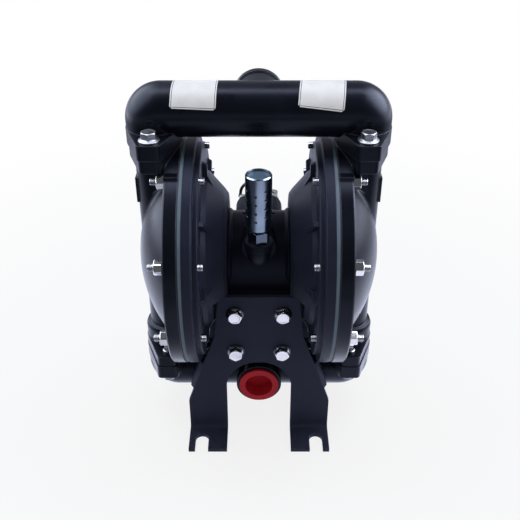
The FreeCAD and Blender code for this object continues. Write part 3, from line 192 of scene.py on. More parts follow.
def make_floor():
    """A large plain floor. To the camera it glows white, all of it far out and most of it
    near the pump, where the rest is matte and takes the shadow. Mirrors see it bright beside
    the pump, at the far sides and in a round patch in front, as lamps that stand there
    would light it, and dim between them."""
    side = floor_side
    corners = [(-side, -side, 0), (side, -side, 0), (side, side, 0), (-side, side, 0)]
    floor = mesh_object("floor", corners, [(0, 1, 2, 3)])
    material = bpy.data.materials.new("floor_white")
    material.use_nodes = True
    tree = material.node_tree
    tree.nodes.clear()
    matte = add_node(tree, "BsdfDiffuse", Color=(0.8, 0.8, 0.8, 1))
    glow = add_node(tree, "Emission", Strength=1.0)
    mix = add_node(tree, "MixShader")
    place = add_node(tree, "TexCoord")
    distance = add_node(tree, "VectorMath", operation="LENGTH")
    seen = add_node(tree, "Math", operation="MULTIPLY")
    share = add_node(tree, "Math", operation="MAXIMUM")
    out = add_node(tree, "OutputMaterial")
    join(tree, place.outputs["Object"], distance.inputs[0])
    far = distance.outputs["Value"]
    split = add_node(tree, "SeparateXYZ")
    join(tree, place.outputs["Object"], split.inputs[0])
    front = add_node(tree, "VectorMath", operation="DISTANCE")
    front.inputs[1].default_value = front_patch_middle
    join(tree, place.outputs["Object"], front.inputs[0])
    beside = add_node(tree, "Math", operation="MULTIPLY")
    join(tree, smooth_range(tree, split.outputs[1], *beside_front_to_back), beside.inputs[0])
    join(tree, smooth_range(tree, far, *beside_near_to_far), beside.inputs[1])
    patch = smooth_range(tree, front.outputs["Value"], *front_patch)
    sides = smooth_range(tree, far, *far_sides)
    mirrored = add_up(tree, beside.outputs[0], patch, sides)
    join(tree, studio_white(tree, mirrored, floor_tint), glow.inputs["Color"])
    join(tree, either_ray(tree, "Is Camera Ray"), seen.inputs[0])
    join(tree, smooth_range(tree, far, *seen_near_to_far), seen.inputs[1])
    join(tree, seen.outputs[0], share.inputs[0])
    join(tree, either_ray(tree, "Is Glossy Ray", "Is Transmission Ray"), share.inputs[1])
    join(tree, share.outputs[0], mix.inputs[0])
    join(tree, matte.outputs[0], mix.inputs[1])
    join(tree, glow.outputs[0], mix.inputs[2])
    join(tree, mix.outputs[0], out.inputs[0])
    floor.data.materials.append(material)
    return floor


def panel_share(tree, direction, azimuth, height, inner, outer, strength):
    """The strength inside a round white panel of the studio, and 0 outside it. The cosine
    between a direction and the panel's middle runs between those of its two angles."""
    a, h = math.radians(azimuth), math.radians(height)
    lean = add_node(tree, "VectorMath", operation="DOT_PRODUCT")
    lean.inputs[1].default_value = (
        math.sin(a) * math.cos(h), math.cos(a) * math.cos(h), math.sin(h)
    )
    join(tree, direction, lean.inputs[0])
    edge, full = math.cos(math.radians(outer)), math.cos(math.radians(inner))
    return smooth_range(tree, lean.outputs["Value"], edge, full, 0.0, strength)


room_tint, room_light = (0.96, 0.97, 1.0, 1), 0.58
room_front_to_back = (-0.3, 0.6, 0.12, 0.5)
# Azimuth, height, inner and outer angle in degrees, and strength.
panels = ((-76, 36, 14, 50, 7.0), (84, 32, 8, 42, 14.0))


def make_world():
    """White where it is seen, a mild grey where it only lights, and for mirrors a dim room
    that is brighter behind the pump, with a white panel high on each side."""
    world = bpy.data.worlds.new("studio")
    bpy.context.scene.world = world
    world.use_nodes = True
    tree = world.node_tree
    tree.nodes.clear()
    light = add_node(tree, "Background", Color=room_tint, Strength=room_light)
    white = add_node(tree, "Background", Strength=1.0)
    place = add_node(tree, "TexCoord")
    direction = place.outputs["Generated"]
    split = add_node(tree, "SeparateXYZ")
    join(tree, direction, split.inputs[0])
    room = smooth_range(tree, split.outputs[1], *room_front_to_back)
    shares = [panel_share(tree, direction, *panel) for panel in panels]
    join(tree, studio_white(tree, add_up(tree, room, *shares), cool), white.inputs["Color"])
    mix = add_node(tree, "MixShader")
    out = add_node(tree, "OutputWorld")
    seen = either_ray(tree, "Is Camera Ray", "Is Glossy Ray", "Is Transmission Ray")
    join(tree, seen, mix.inputs[0])
    join(tree, light.outputs[0], mix.inputs[1])
    join(tree, white.outputs[0], mix.inputs[2])
    join(tree, mix.outputs[0], out.inputs[0])


lamp_target = (0.0, 0.0, 0.16)


def add_lamp(name, position, width, height, power):
    """A rectangular lamp at a position, facing the pump."""
    data = bpy.data.lights.new(name, "AREA")
    data.shape = "RECTANGLE"
    data.size = width
    data.size_y = height
    data.energy = power
    data.color = cool
    lamp = bpy.data.objects.new(name, data)
    facing = (Vector(lamp_target) - Vector(position)).to_track_quat("-Z", "Y")
    lamp.matrix_world = Matrix.Translation(position) @ facing.to_matrix().to_4x4()
    bpy.context.scene.collection.objects.link(lamp)
    return lamp


make_floor()
make_world()
add_lamp("lamp_above", position=(0.0, 0.1, 1.15), width=1.1, height=0.28, power=6.2)
for name, side, power in (("lamp_left", -1, 1.0), ("lamp_right", 1, 0.6)):
    add_lamp(name, position=(side * 0.9, 0.3, 0.12), width=0.7, height=0.16, power=power)
bpy.context.scene.view_settings.view_transform = "Standard"

# %% [markdown]
# Most finishes on a machine share a few effects: corners that are never quite sharp, a skin
# left by the casting mould or the paint, and edges that are lighter, partly from wear and
# partly as a painted highlight. Each of them is a node group, built once here with named
# inputs, and placed in every material with its own values.

# %% Shared effects as node groups
def new_group(name, inputs, outputs):
    """An empty node group with float inputs, outputs of the given kinds, and two end nodes."""
    group = bpy.data.node_groups.new(name, "ShaderNodeTree")
    for label, start in inputs.items():
        socket = group.interface.new_socket(label, in_out="INPUT", socket_type="NodeSocketFloat")
        socket.default_value = start
    for label, kind in outputs.items():
        group.interface.new_socket(label, in_out="OUTPUT", socket_type="NodeSocket" + kind)
    first = group.nodes.new("NodeGroupInput")
    last = group.nodes.new("NodeGroupOutput")
    return group, first, last


plain_lean, edge_lean = 0.995, 0.86


def build_soft_edges():
    """Normals bent as if each edge were rounded, and a mask that is 1 along those edges.
    The mask is the cosine between the bent normal and the true one, stretched to 0..1."""
    group, first, last = new_group(
        "soft_edges", {"Radius": 0.0006}, {"Normal": "Vector", "Edge": "Float"}
    )
    bevel = add_node(group, "Bevel", samples=6)
    true_normal = add_node(group, "NewGeometry")
    lean = add_node(group, "VectorMath", operation="DOT_PRODUCT")
    join(group, first.outputs["Radius"], bevel.inputs["Radius"])
    join(group, bevel.outputs[0], lean.inputs[0])
    join(group, true_normal.outputs["Normal"], lean.inputs[1])
    join(group, bevel.outputs[0], last.inputs["Normal"])
    mask = map_range(group, lean.outputs["Value"], plain_lean, edge_lean)
    join(group, mask, last.inputs["Edge"])
    return group


grit_share = 0.35
line_stretch = (1.0, 0.12, 1.0)


def build_cast_skin():
    """Height and tone of a cast and painted skin: broad waves with fine grit on them."""
    group, first, last = new_group(
        "cast_skin", {"Grit size": 900.0, "Wave size": 60.0}, {"Height": "Float", "Tone": "Float"}
    )
    place = add_node(group, "TexCoord")
    grit = add_node(group, "TexNoise", Detail=4.0, Roughness=0.6)
    wave = add_node(group, "TexNoise", Detail=3.0, Roughness=0.5)
    height = add_node(group, "Math", operation="MULTIPLY_ADD")
    height.inputs[1].default_value = grit_share
    join(group, place.outputs["Object"], grit.inputs["Vector"])
    join(group, place.outputs["Object"], wave.inputs["Vector"])
    join(group, first.outputs["Grit size"], grit.inputs["Scale"])
    join(group, first.outputs["Wave size"], wave.inputs["Scale"])
    join(group, grit.outputs[0], height.inputs[0])
    join(group, wave.outputs[0], height.inputs[2])
    join(group, height.outputs[0], last.inputs["Height"])
    join(group, wave.outputs[0], last.inputs["Tone"])
    return group


def build_plated_grain():
    """Fine turned or brushed lines across one axis, with cloudy patches of the plating."""
    group, first, last = new_group(
        "plated_grain",
        {"Line size": 2500.0, "Cloud size": 160.0},
        {"Height": "Float", "Cloud": "Float"},
    )
    place = add_node(group, "TexCoord")
    stretch = add_node(group, "Mapping")
    stretch.inputs["Scale"].default_value = line_stretch
    lines = add_node(group, "TexNoise", Detail=3.0, Roughness=0.7)
    cloud = add_node(group, "TexNoise", Detail=2.0, Roughness=0.5)
    join(group, place.outputs["Object"], stretch.inputs["Vector"])
    join(group, stretch.outputs[0], lines.inputs["Vector"])
    join(group, place.outputs["Object"], cloud.inputs["Vector"])
    join(group, first.outputs["Line size"], lines.inputs["Scale"])
    join(group, first.outputs["Cloud size"], cloud.inputs["Scale"])
    join(group, lines.outputs[0], last.inputs["Height"])
    join(group, cloud.outputs[0], last.inputs["Cloud"])
    return group


soft_edges = build_soft_edges()
cast_skin = build_cast_skin()
plated_grain = build_plated_grain()
print("node groups", [group.name for group in (soft_edges, cast_skin, plated_grain)])

# %% [markdown]
# The materials themselves stay plain: one Principled shader whose colour runs between two
# close tones, whose roughness runs between two limits, and whose normal carries the skin.
# Painted, plated and moulded finishes differ only in which group they take and how much.

# %% Materials
def place_group(tree, group, **values):
    """A copy of a shared group in a material, with its own input values."""
    made = tree.nodes.new("ShaderNodeGroup")
    made.node_tree = group
    for key, value in values.items():
        made.inputs[key.replace("_", " ")].default_value = value
    return made


noise_low, noise_high = 0.3, 0.7


def ramp(tree, value, low, high):
    """A noise value, which mostly lies between two limits, stretched from low to high."""
    return map_range(tree, value, noise_low, noise_high, low, high)


def mix_colours(tree, share, first, second):
    """A colour between two, by a share from 0 to 1."""
    mix = add_node(tree, "Mix", data_type="RGBA")
    mix.inputs[6].default_value = (*first, 1)
    mix.inputs[7].default_value = (*second, 1)
    join(tree, share, mix.inputs[0])
    return mix


def finish_material(
    name, group, sizes, dark, light, edge_wear_and_highlight, edge_wear_and_highlight_share, roughness, bump, radius, **constants
):
    """A Principled material on one shared group, whose two inputs are the sizes. Its colour
    runs from dark to light with the group's pattern, edges take a lighter colour that is partly
    wear and partly a painted highlight, and the group's height becomes a bump over the rounded
    normal."""
    material = bpy.data.materials.new(name)
    material.use_nodes = True
    tree = material.node_tree
    shader = tree.nodes["Principled BSDF"]
    for key, value in constants.items():
        shader.inputs[key.replace("_", " ")].default_value = value
    skin = place_group(tree, group)
    for socket, size in zip(skin.inputs, sizes):
        socket.default_value = size
    edges = place_group(tree, soft_edges, Radius=radius)
    tone = skin.outputs[1]
    colour = mix_colours(tree, ramp(tree, tone, 0.0, 1.0), dark, light)
    # Lighter edges: partly wear, partly a painted highlight.
    worn_and_highlit_edges = mix_colours(tree, edges.outputs["Edge"], dark, edge_wear_and_highlight)
    share = add_node(tree, "Math", operation="MULTIPLY")
    share.inputs[1].default_value = edge_wear_and_highlight_share
    join(tree, edges.outputs["Edge"], share.inputs[0])
    join(tree, share.outputs[0], worn_and_highlit_edges.inputs[0])
    join(tree, colour.outputs[2], worn_and_highlit_edges.inputs[6])
    join(tree, worn_and_highlit_edges.outputs[2], shader.inputs["Base Color"])
    join(tree, ramp(tree, tone, *roughness), shader.inputs["Roughness"])
    relief = add_node(tree, "Bump", Strength=bump, Distance=0.0003)
    join(tree, skin.outputs["Height"], relief.inputs["Height"])
    join(tree, edges.outputs["Normal"], relief.inputs["Normal"])
    join(tree, relief.outputs[0], shader.inputs["Normal"])
    return material


cool_gloss = (0.75, 0.8, 1.0, 1.0)
# The dome's own paint rounds no edge, for the small caps at the end of this lesson.
body_paint, dome_paint = (
    finish_material(
        name, cast_skin, (1100.0, 45.0),
        dark=(0.0032, 0.0038, 0.007), light=(0.0044, 0.0052, 0.009),
        edge_wear_and_highlight=(0.11, 0.12, 0.15), edge_wear_and_highlight_share=0.5,
        roughness=(0.26, 0.34), bump=0.3, radius=edge_radius,
        Specular_IOR_Level=0.17, Specular_Tint=cool_gloss,
    )
    for name, edge_radius in (("satin_black_paint", 0.0011), ("dome_black_paint", 0.00002))
)
cap_paint = finish_material(
    "air_cap_paint", cast_skin, (1300.0, 55.0),
    dark=(0.0135, 0.0155, 0.0265), light=(0.0165, 0.0185, 0.031),
    edge_wear_and_highlight=(0.032, 0.035, 0.05), edge_wear_and_highlight_share=0.4,
    roughness=(0.38, 0.48), bump=0.25, radius=0.0009,
    Specular_IOR_Level=0.12, Specular_Tint=cool_gloss,
)
core_paint = finish_material(
    "centre_black_paint", cast_skin, (1300.0, 45.0),
    dark=(0.0032, 0.0038, 0.007), light=(0.0044, 0.0052, 0.009),
    edge_wear_and_highlight=(0.012, 0.013, 0.021), edge_wear_and_highlight_share=0.4,
    roughness=(0.42, 0.5), bump=0.3, radius=0.0011,
    Specular_IOR_Level=0.09, Specular_Tint=cool_gloss,
)
bracket_paint = finish_material(
    "matte_black_paint", cast_skin, (1800.0, 90.0),
    dark=(0.0175, 0.0195, 0.034), light=(0.0215, 0.0235, 0.04),
    edge_wear_and_highlight=(0.045, 0.048, 0.07), edge_wear_and_highlight_share=0.4,
    roughness=(0.5, 0.6), bump=0.16, radius=0.0009,
    Specular_IOR_Level=0.12, Specular_Tint=cool_gloss,
)
# The bracket bolts get their own copy of the bright zinc, which carries painted shade on their
# collars.
zinc, bracket_bolt_zinc_painted_shade = (
    finish_material(
        name, plated_grain, (1800.0, 220.0),
        dark=(0.66, 0.64, 0.61), light=(0.72, 0.7, 0.67),
        edge_wear_and_highlight=(0.86, 0.84, 0.81), edge_wear_and_highlight_share=0.3,
        roughness=(0.12, 0.18), bump=0.02, radius=0.0003, Metallic=1.0,
    )
    for name in ("bright_zinc", "bracket_bolt_zinc_painted_shade")
)
# The flange bolts' zinc is rougher, and coloured far darker than the other zinc: a painted dark
# reflection of the black pump around them.
flange_zinc_painted_dark = finish_material(
    "dull_zinc_painted_dark", plated_grain, (1800.0, 220.0),
    dark=(0.22, 0.22, 0.23), light=(0.28, 0.28, 0.29),
    edge_wear_and_highlight=(0.75, 0.75, 0.76), edge_wear_and_highlight_share=0.3,
    roughness=(0.33, 0.39), bump=0.03, radius=0.0003, Metallic=1.0,
)
muffler_zinc = finish_material(
    "muffler_zinc", plated_grain, (700.0, 120.0),
    dark=(0.2, 0.25, 0.3), light=(0.26, 0.31, 0.37),
    edge_wear_and_highlight=(0.6, 0.64, 0.68), edge_wear_and_highlight_share=0.25,
    roughness=(0.17, 0.23), bump=0.015, radius=0.0002, Metallic=1.0,
)
muffler_disc = finish_material(
    "muffler_disc", plated_grain, (900.0, 200.0),
    dark=(0.055, 0.088, 0.12), light=(0.068, 0.105, 0.142),
    edge_wear_and_highlight=(0.18, 0.24, 0.3), edge_wear_and_highlight_share=0.3,
    roughness=(0.35, 0.45), bump=0.04, radius=0.0003,
)
# The stud threads take a darker zinc than the nuts: painted shade for the light trapped between
# the threads.
stud_thread_zinc_painted_shade = finish_material(
    "stud_thread_zinc_painted_shade", plated_grain, (1800.0, 300.0),
    dark=(0.2, 0.2, 0.2), light=(0.28, 0.28, 0.28),
    edge_wear_and_highlight=(0.6, 0.6, 0.6), edge_wear_and_highlight_share=0.4,
    roughness=(0.14, 0.2), bump=0.04, radius=0.0001, Metallic=1.0,
)
ring_rubber = finish_material(
    "grey_blue_rubber", cast_skin, (1500.0, 70.0),
    dark=(0.066, 0.092, 0.12), light=(0.09, 0.125, 0.155),
    edge_wear_and_highlight=(0.14, 0.18, 0.22), edge_wear_and_highlight_share=0.3,
    roughness=(0.55, 0.7), bump=0.2, radius=0.0004,
)


def tint_from(material, axis, start, step, colour):
    """Another colour from a distance on. A point's distance from zero along X, Y or Z (axis
    0, 1 or 2) is compared with start, and the tint grows to full over the next step. A
    step below zero tints what lies nearer than start."""
    tree = material.node_tree
    shader = tree.nodes["Principled BSDF"]
    plain = shader.inputs["Base Color"].links[0].from_socket
    place = add_node(tree, "TexCoord")
    split = add_node(tree, "SeparateXYZ")
    distance = add_node(tree, "Math", operation="ABSOLUTE")
    join(tree, place.outputs["Object"], split.inputs[0])
    join(tree, split.outputs[axis], distance.inputs[0])
    share = map_range(tree, distance.outputs[0], start, start + step)
    mix = mix_colours(tree, share, (0, 0, 0), colour)
    join(tree, plain, mix.inputs[6])
    join(tree, mix.outputs[2], shader.inputs["Base Color"])


# The rim of a diaphragm is a grey sheet with a black facing towards the liquid.
grey_layer_end = 0.0601
facing_black = (0.006, 0.007, 0.011)
tint_from(ring_rubber, 0, grey_layer_end, 0.00002, facing_black)
# The silencer's hexagon foot is coloured darker than its tube.
tube_height = 0.0479
hexagon_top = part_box("muffler_can")[1].z - tube_height
hexagon_grey = (0.1, 0.12, 0.15)
tint_from(muffler_zinc, 2, hexagon_top + 0.0003, -0.0003, hexagon_grey)
seal_rubber = finish_material(
    "black_rubber", cast_skin, (1500.0, 90.0),
    dark=(0.012, 0.012, 0.012), light=(0.022, 0.022, 0.022),
    edge_wear_and_highlight=(0.04, 0.04, 0.04), edge_wear_and_highlight_share=0.3,
    roughness=(0.6, 0.75), bump=0.2, radius=0.0003,
)
red_plastic = finish_material(
    "red_plug_plastic", cast_skin, (700.0, 50.0),
    dark=(0.37, 0.011, 0.018), light=(0.45, 0.014, 0.023),
    edge_wear_and_highlight=(0.55, 0.03, 0.04), edge_wear_and_highlight_share=0.3,
    roughness=(0.3, 0.42), bump=0.1, radius=0.0008,
    Specular_IOR_Level=0.12,
)
white_plastic = finish_material(
    "white_plastic", cast_skin, (1200.0, 60.0),
    dark=(0.7, 0.69, 0.65), light=(0.8, 0.79, 0.75),
    edge_wear_and_highlight=(0.85, 0.85, 0.82), edge_wear_and_highlight_share=0.2,
    roughness=(0.4, 0.5), bump=0.08, radius=0.0004,
)
bronze = finish_material(
    "bronze", plated_grain, (1500.0, 150.0),
    dark=(0.45, 0.3, 0.14), light=(0.6, 0.42, 0.2),
    edge_wear_and_highlight=(0.75, 0.55, 0.3), edge_wear_and_highlight_share=0.4,
    roughness=(0.25, 0.4), bump=0.1, radius=0.0003, Metallic=1.0,
)
nickel = finish_material(
    "nickel_brass", plated_grain, (1200.0, 150.0),
    dark=(0.35, 0.34, 0.31), light=(0.47, 0.46, 0.42),
    edge_wear_and_highlight=(0.7, 0.68, 0.62), edge_wear_and_highlight_share=0.4,
    roughness=(0.24, 0.36), bump=0.08, radius=0.0004, Metallic=1.0,
)
ground_steel = finish_material(
    "ground_steel", plated_grain, (3000.0, 200.0),
    dark=(0.5, 0.5, 0.52), light=(0.62, 0.62, 0.64),
    edge_wear_and_highlight=(0.75, 0.75, 0.77), edge_wear_and_highlight_share=0.3,
    roughness=(0.15, 0.25), bump=0.06, radius=0.0003, Metallic=1.0,
)
black_grip = finish_material(
    "black_vinyl", cast_skin, (900.0, 80.0),
    dark=(0.01, 0.01, 0.011), light=(0.016, 0.016, 0.018),
    edge_wear_and_highlight=(0.03, 0.03, 0.03), edge_wear_and_highlight_share=0.3,
    roughness=(0.25, 0.35), bump=0.08, radius=0.0003,
)
felt = finish_material(
    "porous_felt", cast_skin, (2200.0, 400.0),
    dark=(0.02, 0.02, 0.021), light=(0.045, 0.045, 0.047),
    edge_wear_and_highlight=(0.05, 0.05, 0.05), edge_wear_and_highlight_share=0.1,
    roughness=(0.8, 0.95), bump=0.6, radius=0.0003,
)
finish_of_slot = {
    "body_paint": body_paint, "bracket_paint": bracket_paint, "zinc": zinc,
    "muffler_zinc": muffler_zinc, "felt": felt, "red_plastic": red_plastic,
    "diaphragm_rubber": ring_rubber, "seal_rubber": seal_rubber,
    "seat_plastic": white_plastic, "ball_plastic": white_plastic,
    "ground_steel": ground_steel, "plate_metal": ground_steel, "bush_bronze": bronze,
    "nickel_brass": nickel, "black_grip": black_grip,
}
slot_of_node = {
    part["node"]: part["material_slot"] for part in frame["record"]["subparts"]
}
finish_of_node = {name: finish_of_slot[slot_of_node[name]] for name in nodes}
finish_of_node["air_cap_left"] = finish_of_node["air_cap_right"] = cap_paint
for name in ("center_body", "exhaust_elbow", "air_valve_block"):
    finish_of_node[name] = core_paint
finish_of_node["muffler_lid"] = muffler_disc
for name, thing in nodes.items():
    thing.data.materials.clear()
    thing.data.materials.append(finish_of_node[name])
print("finishes on", len(nodes), "nodes")

# %% [markdown]
# New pieces are surfaces: a grid of points that numpy works out at once, closed where the
# formula comes back to its start. One helper turns such a grid into a mesh and makes its
# faces point outwards, and every piece after this uses it.

# %% From a grid of points to a piece
def grid_faces(rows, columns, wrap_rows, wrap_columns):
    """Four-cornered faces between neighbouring points of a grid, row by row."""
    r = np.arange(rows if wrap_rows else rows - 1)
    c = np.arange(columns if wrap_columns else columns - 1)
    r, c = (a.ravel() for a in np.meshgrid(r, c, indexing="ij"))
    r2, c2 = (r + 1) % rows, (c + 1) % columns
    return np.stack([r * columns + c, r2 * columns + c, r2 * columns + c2, r * columns + c2], 1)


def surface_piece(name, grids, material, body, closed_ends=True):
    """One object from several grids of points (rows along, columns round, 3). Columns wrap
    round. Each open end is closed by a fan to its middle point, or, where the ends aren't
    closed, the last row joins the first, as on a ring. Faces are turned outwards by the
    sign of the volume they enclose."""
    vertices, quads, fans, start = [], [], [], 0
    for grid in grids:
        rows, columns = grid.shape[:2]
        flat = grid.reshape(-1, 3)
        faces = grid_faces(rows, columns, not closed_ends, True)
        ring = np.arange(columns)
        following = (ring + 1) % columns
        low = flat[ring]
        high = flat[(rows - 1) * columns + ring]
        ends = np.array([low.mean(0), high.mean(0)])
        first = rows * columns
        last_row = (rows - 1) * columns
        fan = np.concatenate([
            np.stack([ring, following, np.full(columns, first)], 1),
            np.stack([last_row + following, last_row + ring, np.full(columns, first + 1)], 1),
        ]) if closed_ends else np.zeros((0, 3), int)
        points = np.concatenate([flat, ends]) if closed_ends else flat
        split = np.concatenate([faces[:, [0, 1, 2]], faces[:, [0, 2, 3]], fan])
        a, b, c = (points[split[:, i]] - points.mean(0) for i in range(3))
        if np.einsum("ij,ij->i", a, np.cross(b, c)).sum() < 0:
            faces, fan = faces[:, ::-1], fan[:, ::-1]
        vertices.append(points)
        quads.append(faces + start)
        fans.append(fan + start)
        start += len(points)
    faces = [tuple(f) for f in np.concatenate(quads).tolist()]
    faces += [tuple(f) for f in np.concatenate(fans).tolist()]
    piece = mesh_object(name, np.concatenate(vertices).tolist(), faces)
    piece.data.shade_smooth()
    piece.data.materials.append(material)
    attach(piece, body)
    return piece


def turn_to(points, direction, origin):
    """Points made along +Z from zero, turned so that Z runs along direction, and moved."""
    turn = np.array(Vector((0, 0, 1)).rotation_difference(Vector(direction)).to_matrix())
    return points @ turn.T + np.array(origin)


print("helpers ready")

# %% [markdown]
# The studs that clamp the rims show a few millimetres of thread past their nuts and a short
# end inside. A thread is one surface: the radius falls with a triangle wave of height along
# the bar plus angle round it, so one turn of angle moves the wave by one pitch. It fades out
# where a nut or a flange covers it.

# %% Threaded studs
blunt_share, blunt_slope = 0.24, 0.9


def threaded_bar(length, radius, pitch, depth, zones, columns=20):
    """A bar along +Z. Radius = full radius minus depth times a triangle wave of
    (height / pitch - angle / full turn), inside the zones only, with a blunt cone at
    each end."""
    plain = np.array([0.0, length])
    fine = [np.arange(low, high + 1e-9, pitch / 5) for low, high in zones]
    height = np.unique(np.round(np.concatenate([plain] + fine), 7))
    angle = np.linspace(0, 2 * np.pi, columns, endpoint=False)
    z, a = np.meshgrid(height, angle, indexing="ij")
    wave = np.abs((z / pitch - a / (2 * np.pi)) % 1.0 - 0.5) * 2
    inside = np.zeros_like(z)
    for low, high in zones:
        inside = np.maximum(inside, np.clip(np.minimum(z - low, high - z) / pitch + 0.2, 0, 1))
    blunt = np.clip(radius * blunt_share - np.minimum(z, length - z), 0, None)
    r = radius - depth * wave * inside - blunt * blunt_slope
    return np.stack([r * np.cos(a), r * np.sin(a), z], -1)


stud_radius = 0.00315
stud_circle = 0.088
stud_count = 8
stud_angles = [2 * math.pi * (i + 0.5) / stud_count for i in range(stud_count)]
stud_pitch, stud_thread_depth = 0.001, 0.00042
inner_thread, outer_thread = 0.0045, 0.0055


def on_stud_circle(along, angle):
    """The point of a stud's axis at a distance along the shaft."""
    return (
        along, stud_circle * math.cos(angle), shaft_height + stud_circle * math.sin(angle)
    )


def stud_piece(side):
    """The eight studs of one rim, from inner tip to outer tip."""
    low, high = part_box("rim_studs_" + side)
    start, end = min(abs(low.x), abs(high.x)), max(abs(low.x), abs(high.x))
    sign = 1.0 if side == "right" else -1.0
    length = end - start
    bar = threaded_bar(
        length, stud_radius, stud_pitch, stud_thread_depth,
        [(0.0, inner_thread), (length - outer_thread, length)],
    )
    grids = [
        turn_to(bar, (sign, 0, 0), on_stud_circle(sign * start, angle)) for angle in stud_angles
    ]
    piece = surface_piece("stud_threads_" + side, grids, stud_thread_zinc_painted_shade, "housing")
    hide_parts("rim_studs_" + side)
    return piece


for side in ("left", "right"):
    piece = stud_piece(side)
    print(piece.name, len(piece.data.polygons), "faces")

# %% [markdown]
# Bolt heads and nuts are what catches most light on this pump. A plain six-sided bar looks
# wrong there, because a real head is turned to a cone at its top, so its face is a circle
# and its corners end in arcs. The same formula makes all of them: the smaller one of a
# hexagon's radius and a cone's radius. A flanged head also has a collar, which is the larger
# one of that and a flat cone.

# %% Bolt heads and nuts
chamfer_slope, face_share = 1.73, 0.93
bolt_chamfer, nut_chamfer, nut_lead = 0.0014, 0.0012, 0.0005
rim_share, root_rise = 0.55, 0.0004
hex_columns = 60
crease = math.radians(28)


def hex_radius(angle, width):
    """Radius of a hexagon: half its width over the cosine of the angle to the middle of the
    nearest side."""
    sixth = np.pi / 3
    return width / 2 / np.cos((angle + sixth / 2) % sixth - sixth / 2)


def round_rows(profile, angle):
    """Points for a list of (height, radius) pairs, the same all the way round."""
    z, r = (np.array(column)[:, None] * np.ones_like(angle) for column in zip(*profile))
    return np.stack([r * np.cos(angle), r * np.sin(angle), z], -1)


def flanged_bolt(width, head, collar, collar_height, shank, length, turn):
    """A bolt along +Z with the underside of its collar at zero. Above the collar's rim the
    radius is the larger one of the collar's cone and (the smaller one of the hexagon and the
    chamfer's cone). The face is dished a little."""
    angle = np.linspace(0, 2 * np.pi, hex_columns, endpoint=False)
    top = collar_height + head
    rim = collar_height * rim_share
    root = collar_height + root_rise
    face = face_share * width / 2
    rows = np.linspace(rim, root, 6), top - np.linspace(bolt_chamfer, 0.0, 9)
    z = np.concatenate(rows)[:, None]
    chamfer = face + (top - z) * chamfer_slope
    slope = (collar - width / 2) / (root - rim)
    r = np.minimum(hex_radius(angle + turn, width)[None, :], chamfer)
    r = np.maximum(r, collar - (z - rim) * slope)
    z = z * np.ones_like(r)
    head_rows = np.stack([r * np.cos(angle), r * np.sin(angle), z], -1)
    below = [
        (-length, shank * 0.82), (0.0006 - length, shank), (-0.00002, shank), (0.0, shank),
        (0.0, collar - 0.0003), (0.0003, collar),
    ]
    dish = [
        (top, face * 0.9), (top - 0.00018, face * 0.82), (top - 0.0003, face * 0.6),
        (top - 0.0003, face * 0.3),
    ]
    return np.concatenate([round_rows(below, angle), head_rows, round_rows(dish, angle)])


def hex_nut(width, height, bore, turn):
    """A ring: the radius outside is the smallest one of the hexagon and the cones of both
    ends. Inside it comes back along the bore, which is coned at both ends."""
    angle = np.linspace(0, 2 * np.pi, hex_columns, endpoint=False)
    near = np.linspace(0.0, nut_chamfer, 7)
    z = np.concatenate([near, height - near[::-1]])[:, None]
    end = np.minimum(z, height - z)
    cone = face_share * width / 2 + end * chamfer_slope
    r = np.minimum(hex_radius(angle + turn, width)[None, :], cone)
    outside = np.stack([r * np.cos(angle), r * np.sin(angle), z * np.ones_like(r)], -1)
    wide = bore + 0.0006
    inside = [(height, wide), (height - nut_lead, bore), (nut_lead, bore), (0.0, wide)]
    return np.concatenate([outside, round_rows(inside, angle)])


def turns(count, step):
    """Angles that differ from one bolt to the next, as hand-tightened ones do."""
    return [(i * step) % (math.pi / 3) for i in range(count)]


def finish_bolts(name, node, grids, material=zinc, closed_ends=True):
    """One piece for all bolts of a node, with crisp edges."""
    piece = surface_piece(name, grids, material, "housing", closed_ends)
    piece.data.set_sharp_from_angle(angle=crease)
    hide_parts(node)
    print(name, len(piece.data.polygons), "faces")
    return piece


bracket_screw = {
    "width": 0.011, "head": 0.0052, "collar": 0.0076, "collar_height": 0.0015,
    "shank": 0.004, "length": 0.016,
}
bracket_screw_height = bracket_screw["head"] + bracket_screw["collar_height"]
bracket_screw_x = 0.0203
bracket_screw_z = (0.0946, 0.1352)
for side, direction in (("front", -1), ("rear", 1)):
    low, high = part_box(side + "_bracket_screws")
    seat = max(abs(low.y), abs(high.y)) - bracket_screw_height
    grids = [
        turn_to(
            flanged_bolt(turn=turn, **bracket_screw), (0, direction, 0), (x, direction * seat, z)
        )
        for (x, z), turn in zip(
            [(x, z) for x in (-bracket_screw_x, bracket_screw_x) for z in bracket_screw_z],
            turns(4, 0.37),
        )
    ]
    finish_bolts("bolts_" + side, side + "_bracket_screws", grids, bracket_bolt_zinc_painted_shade)
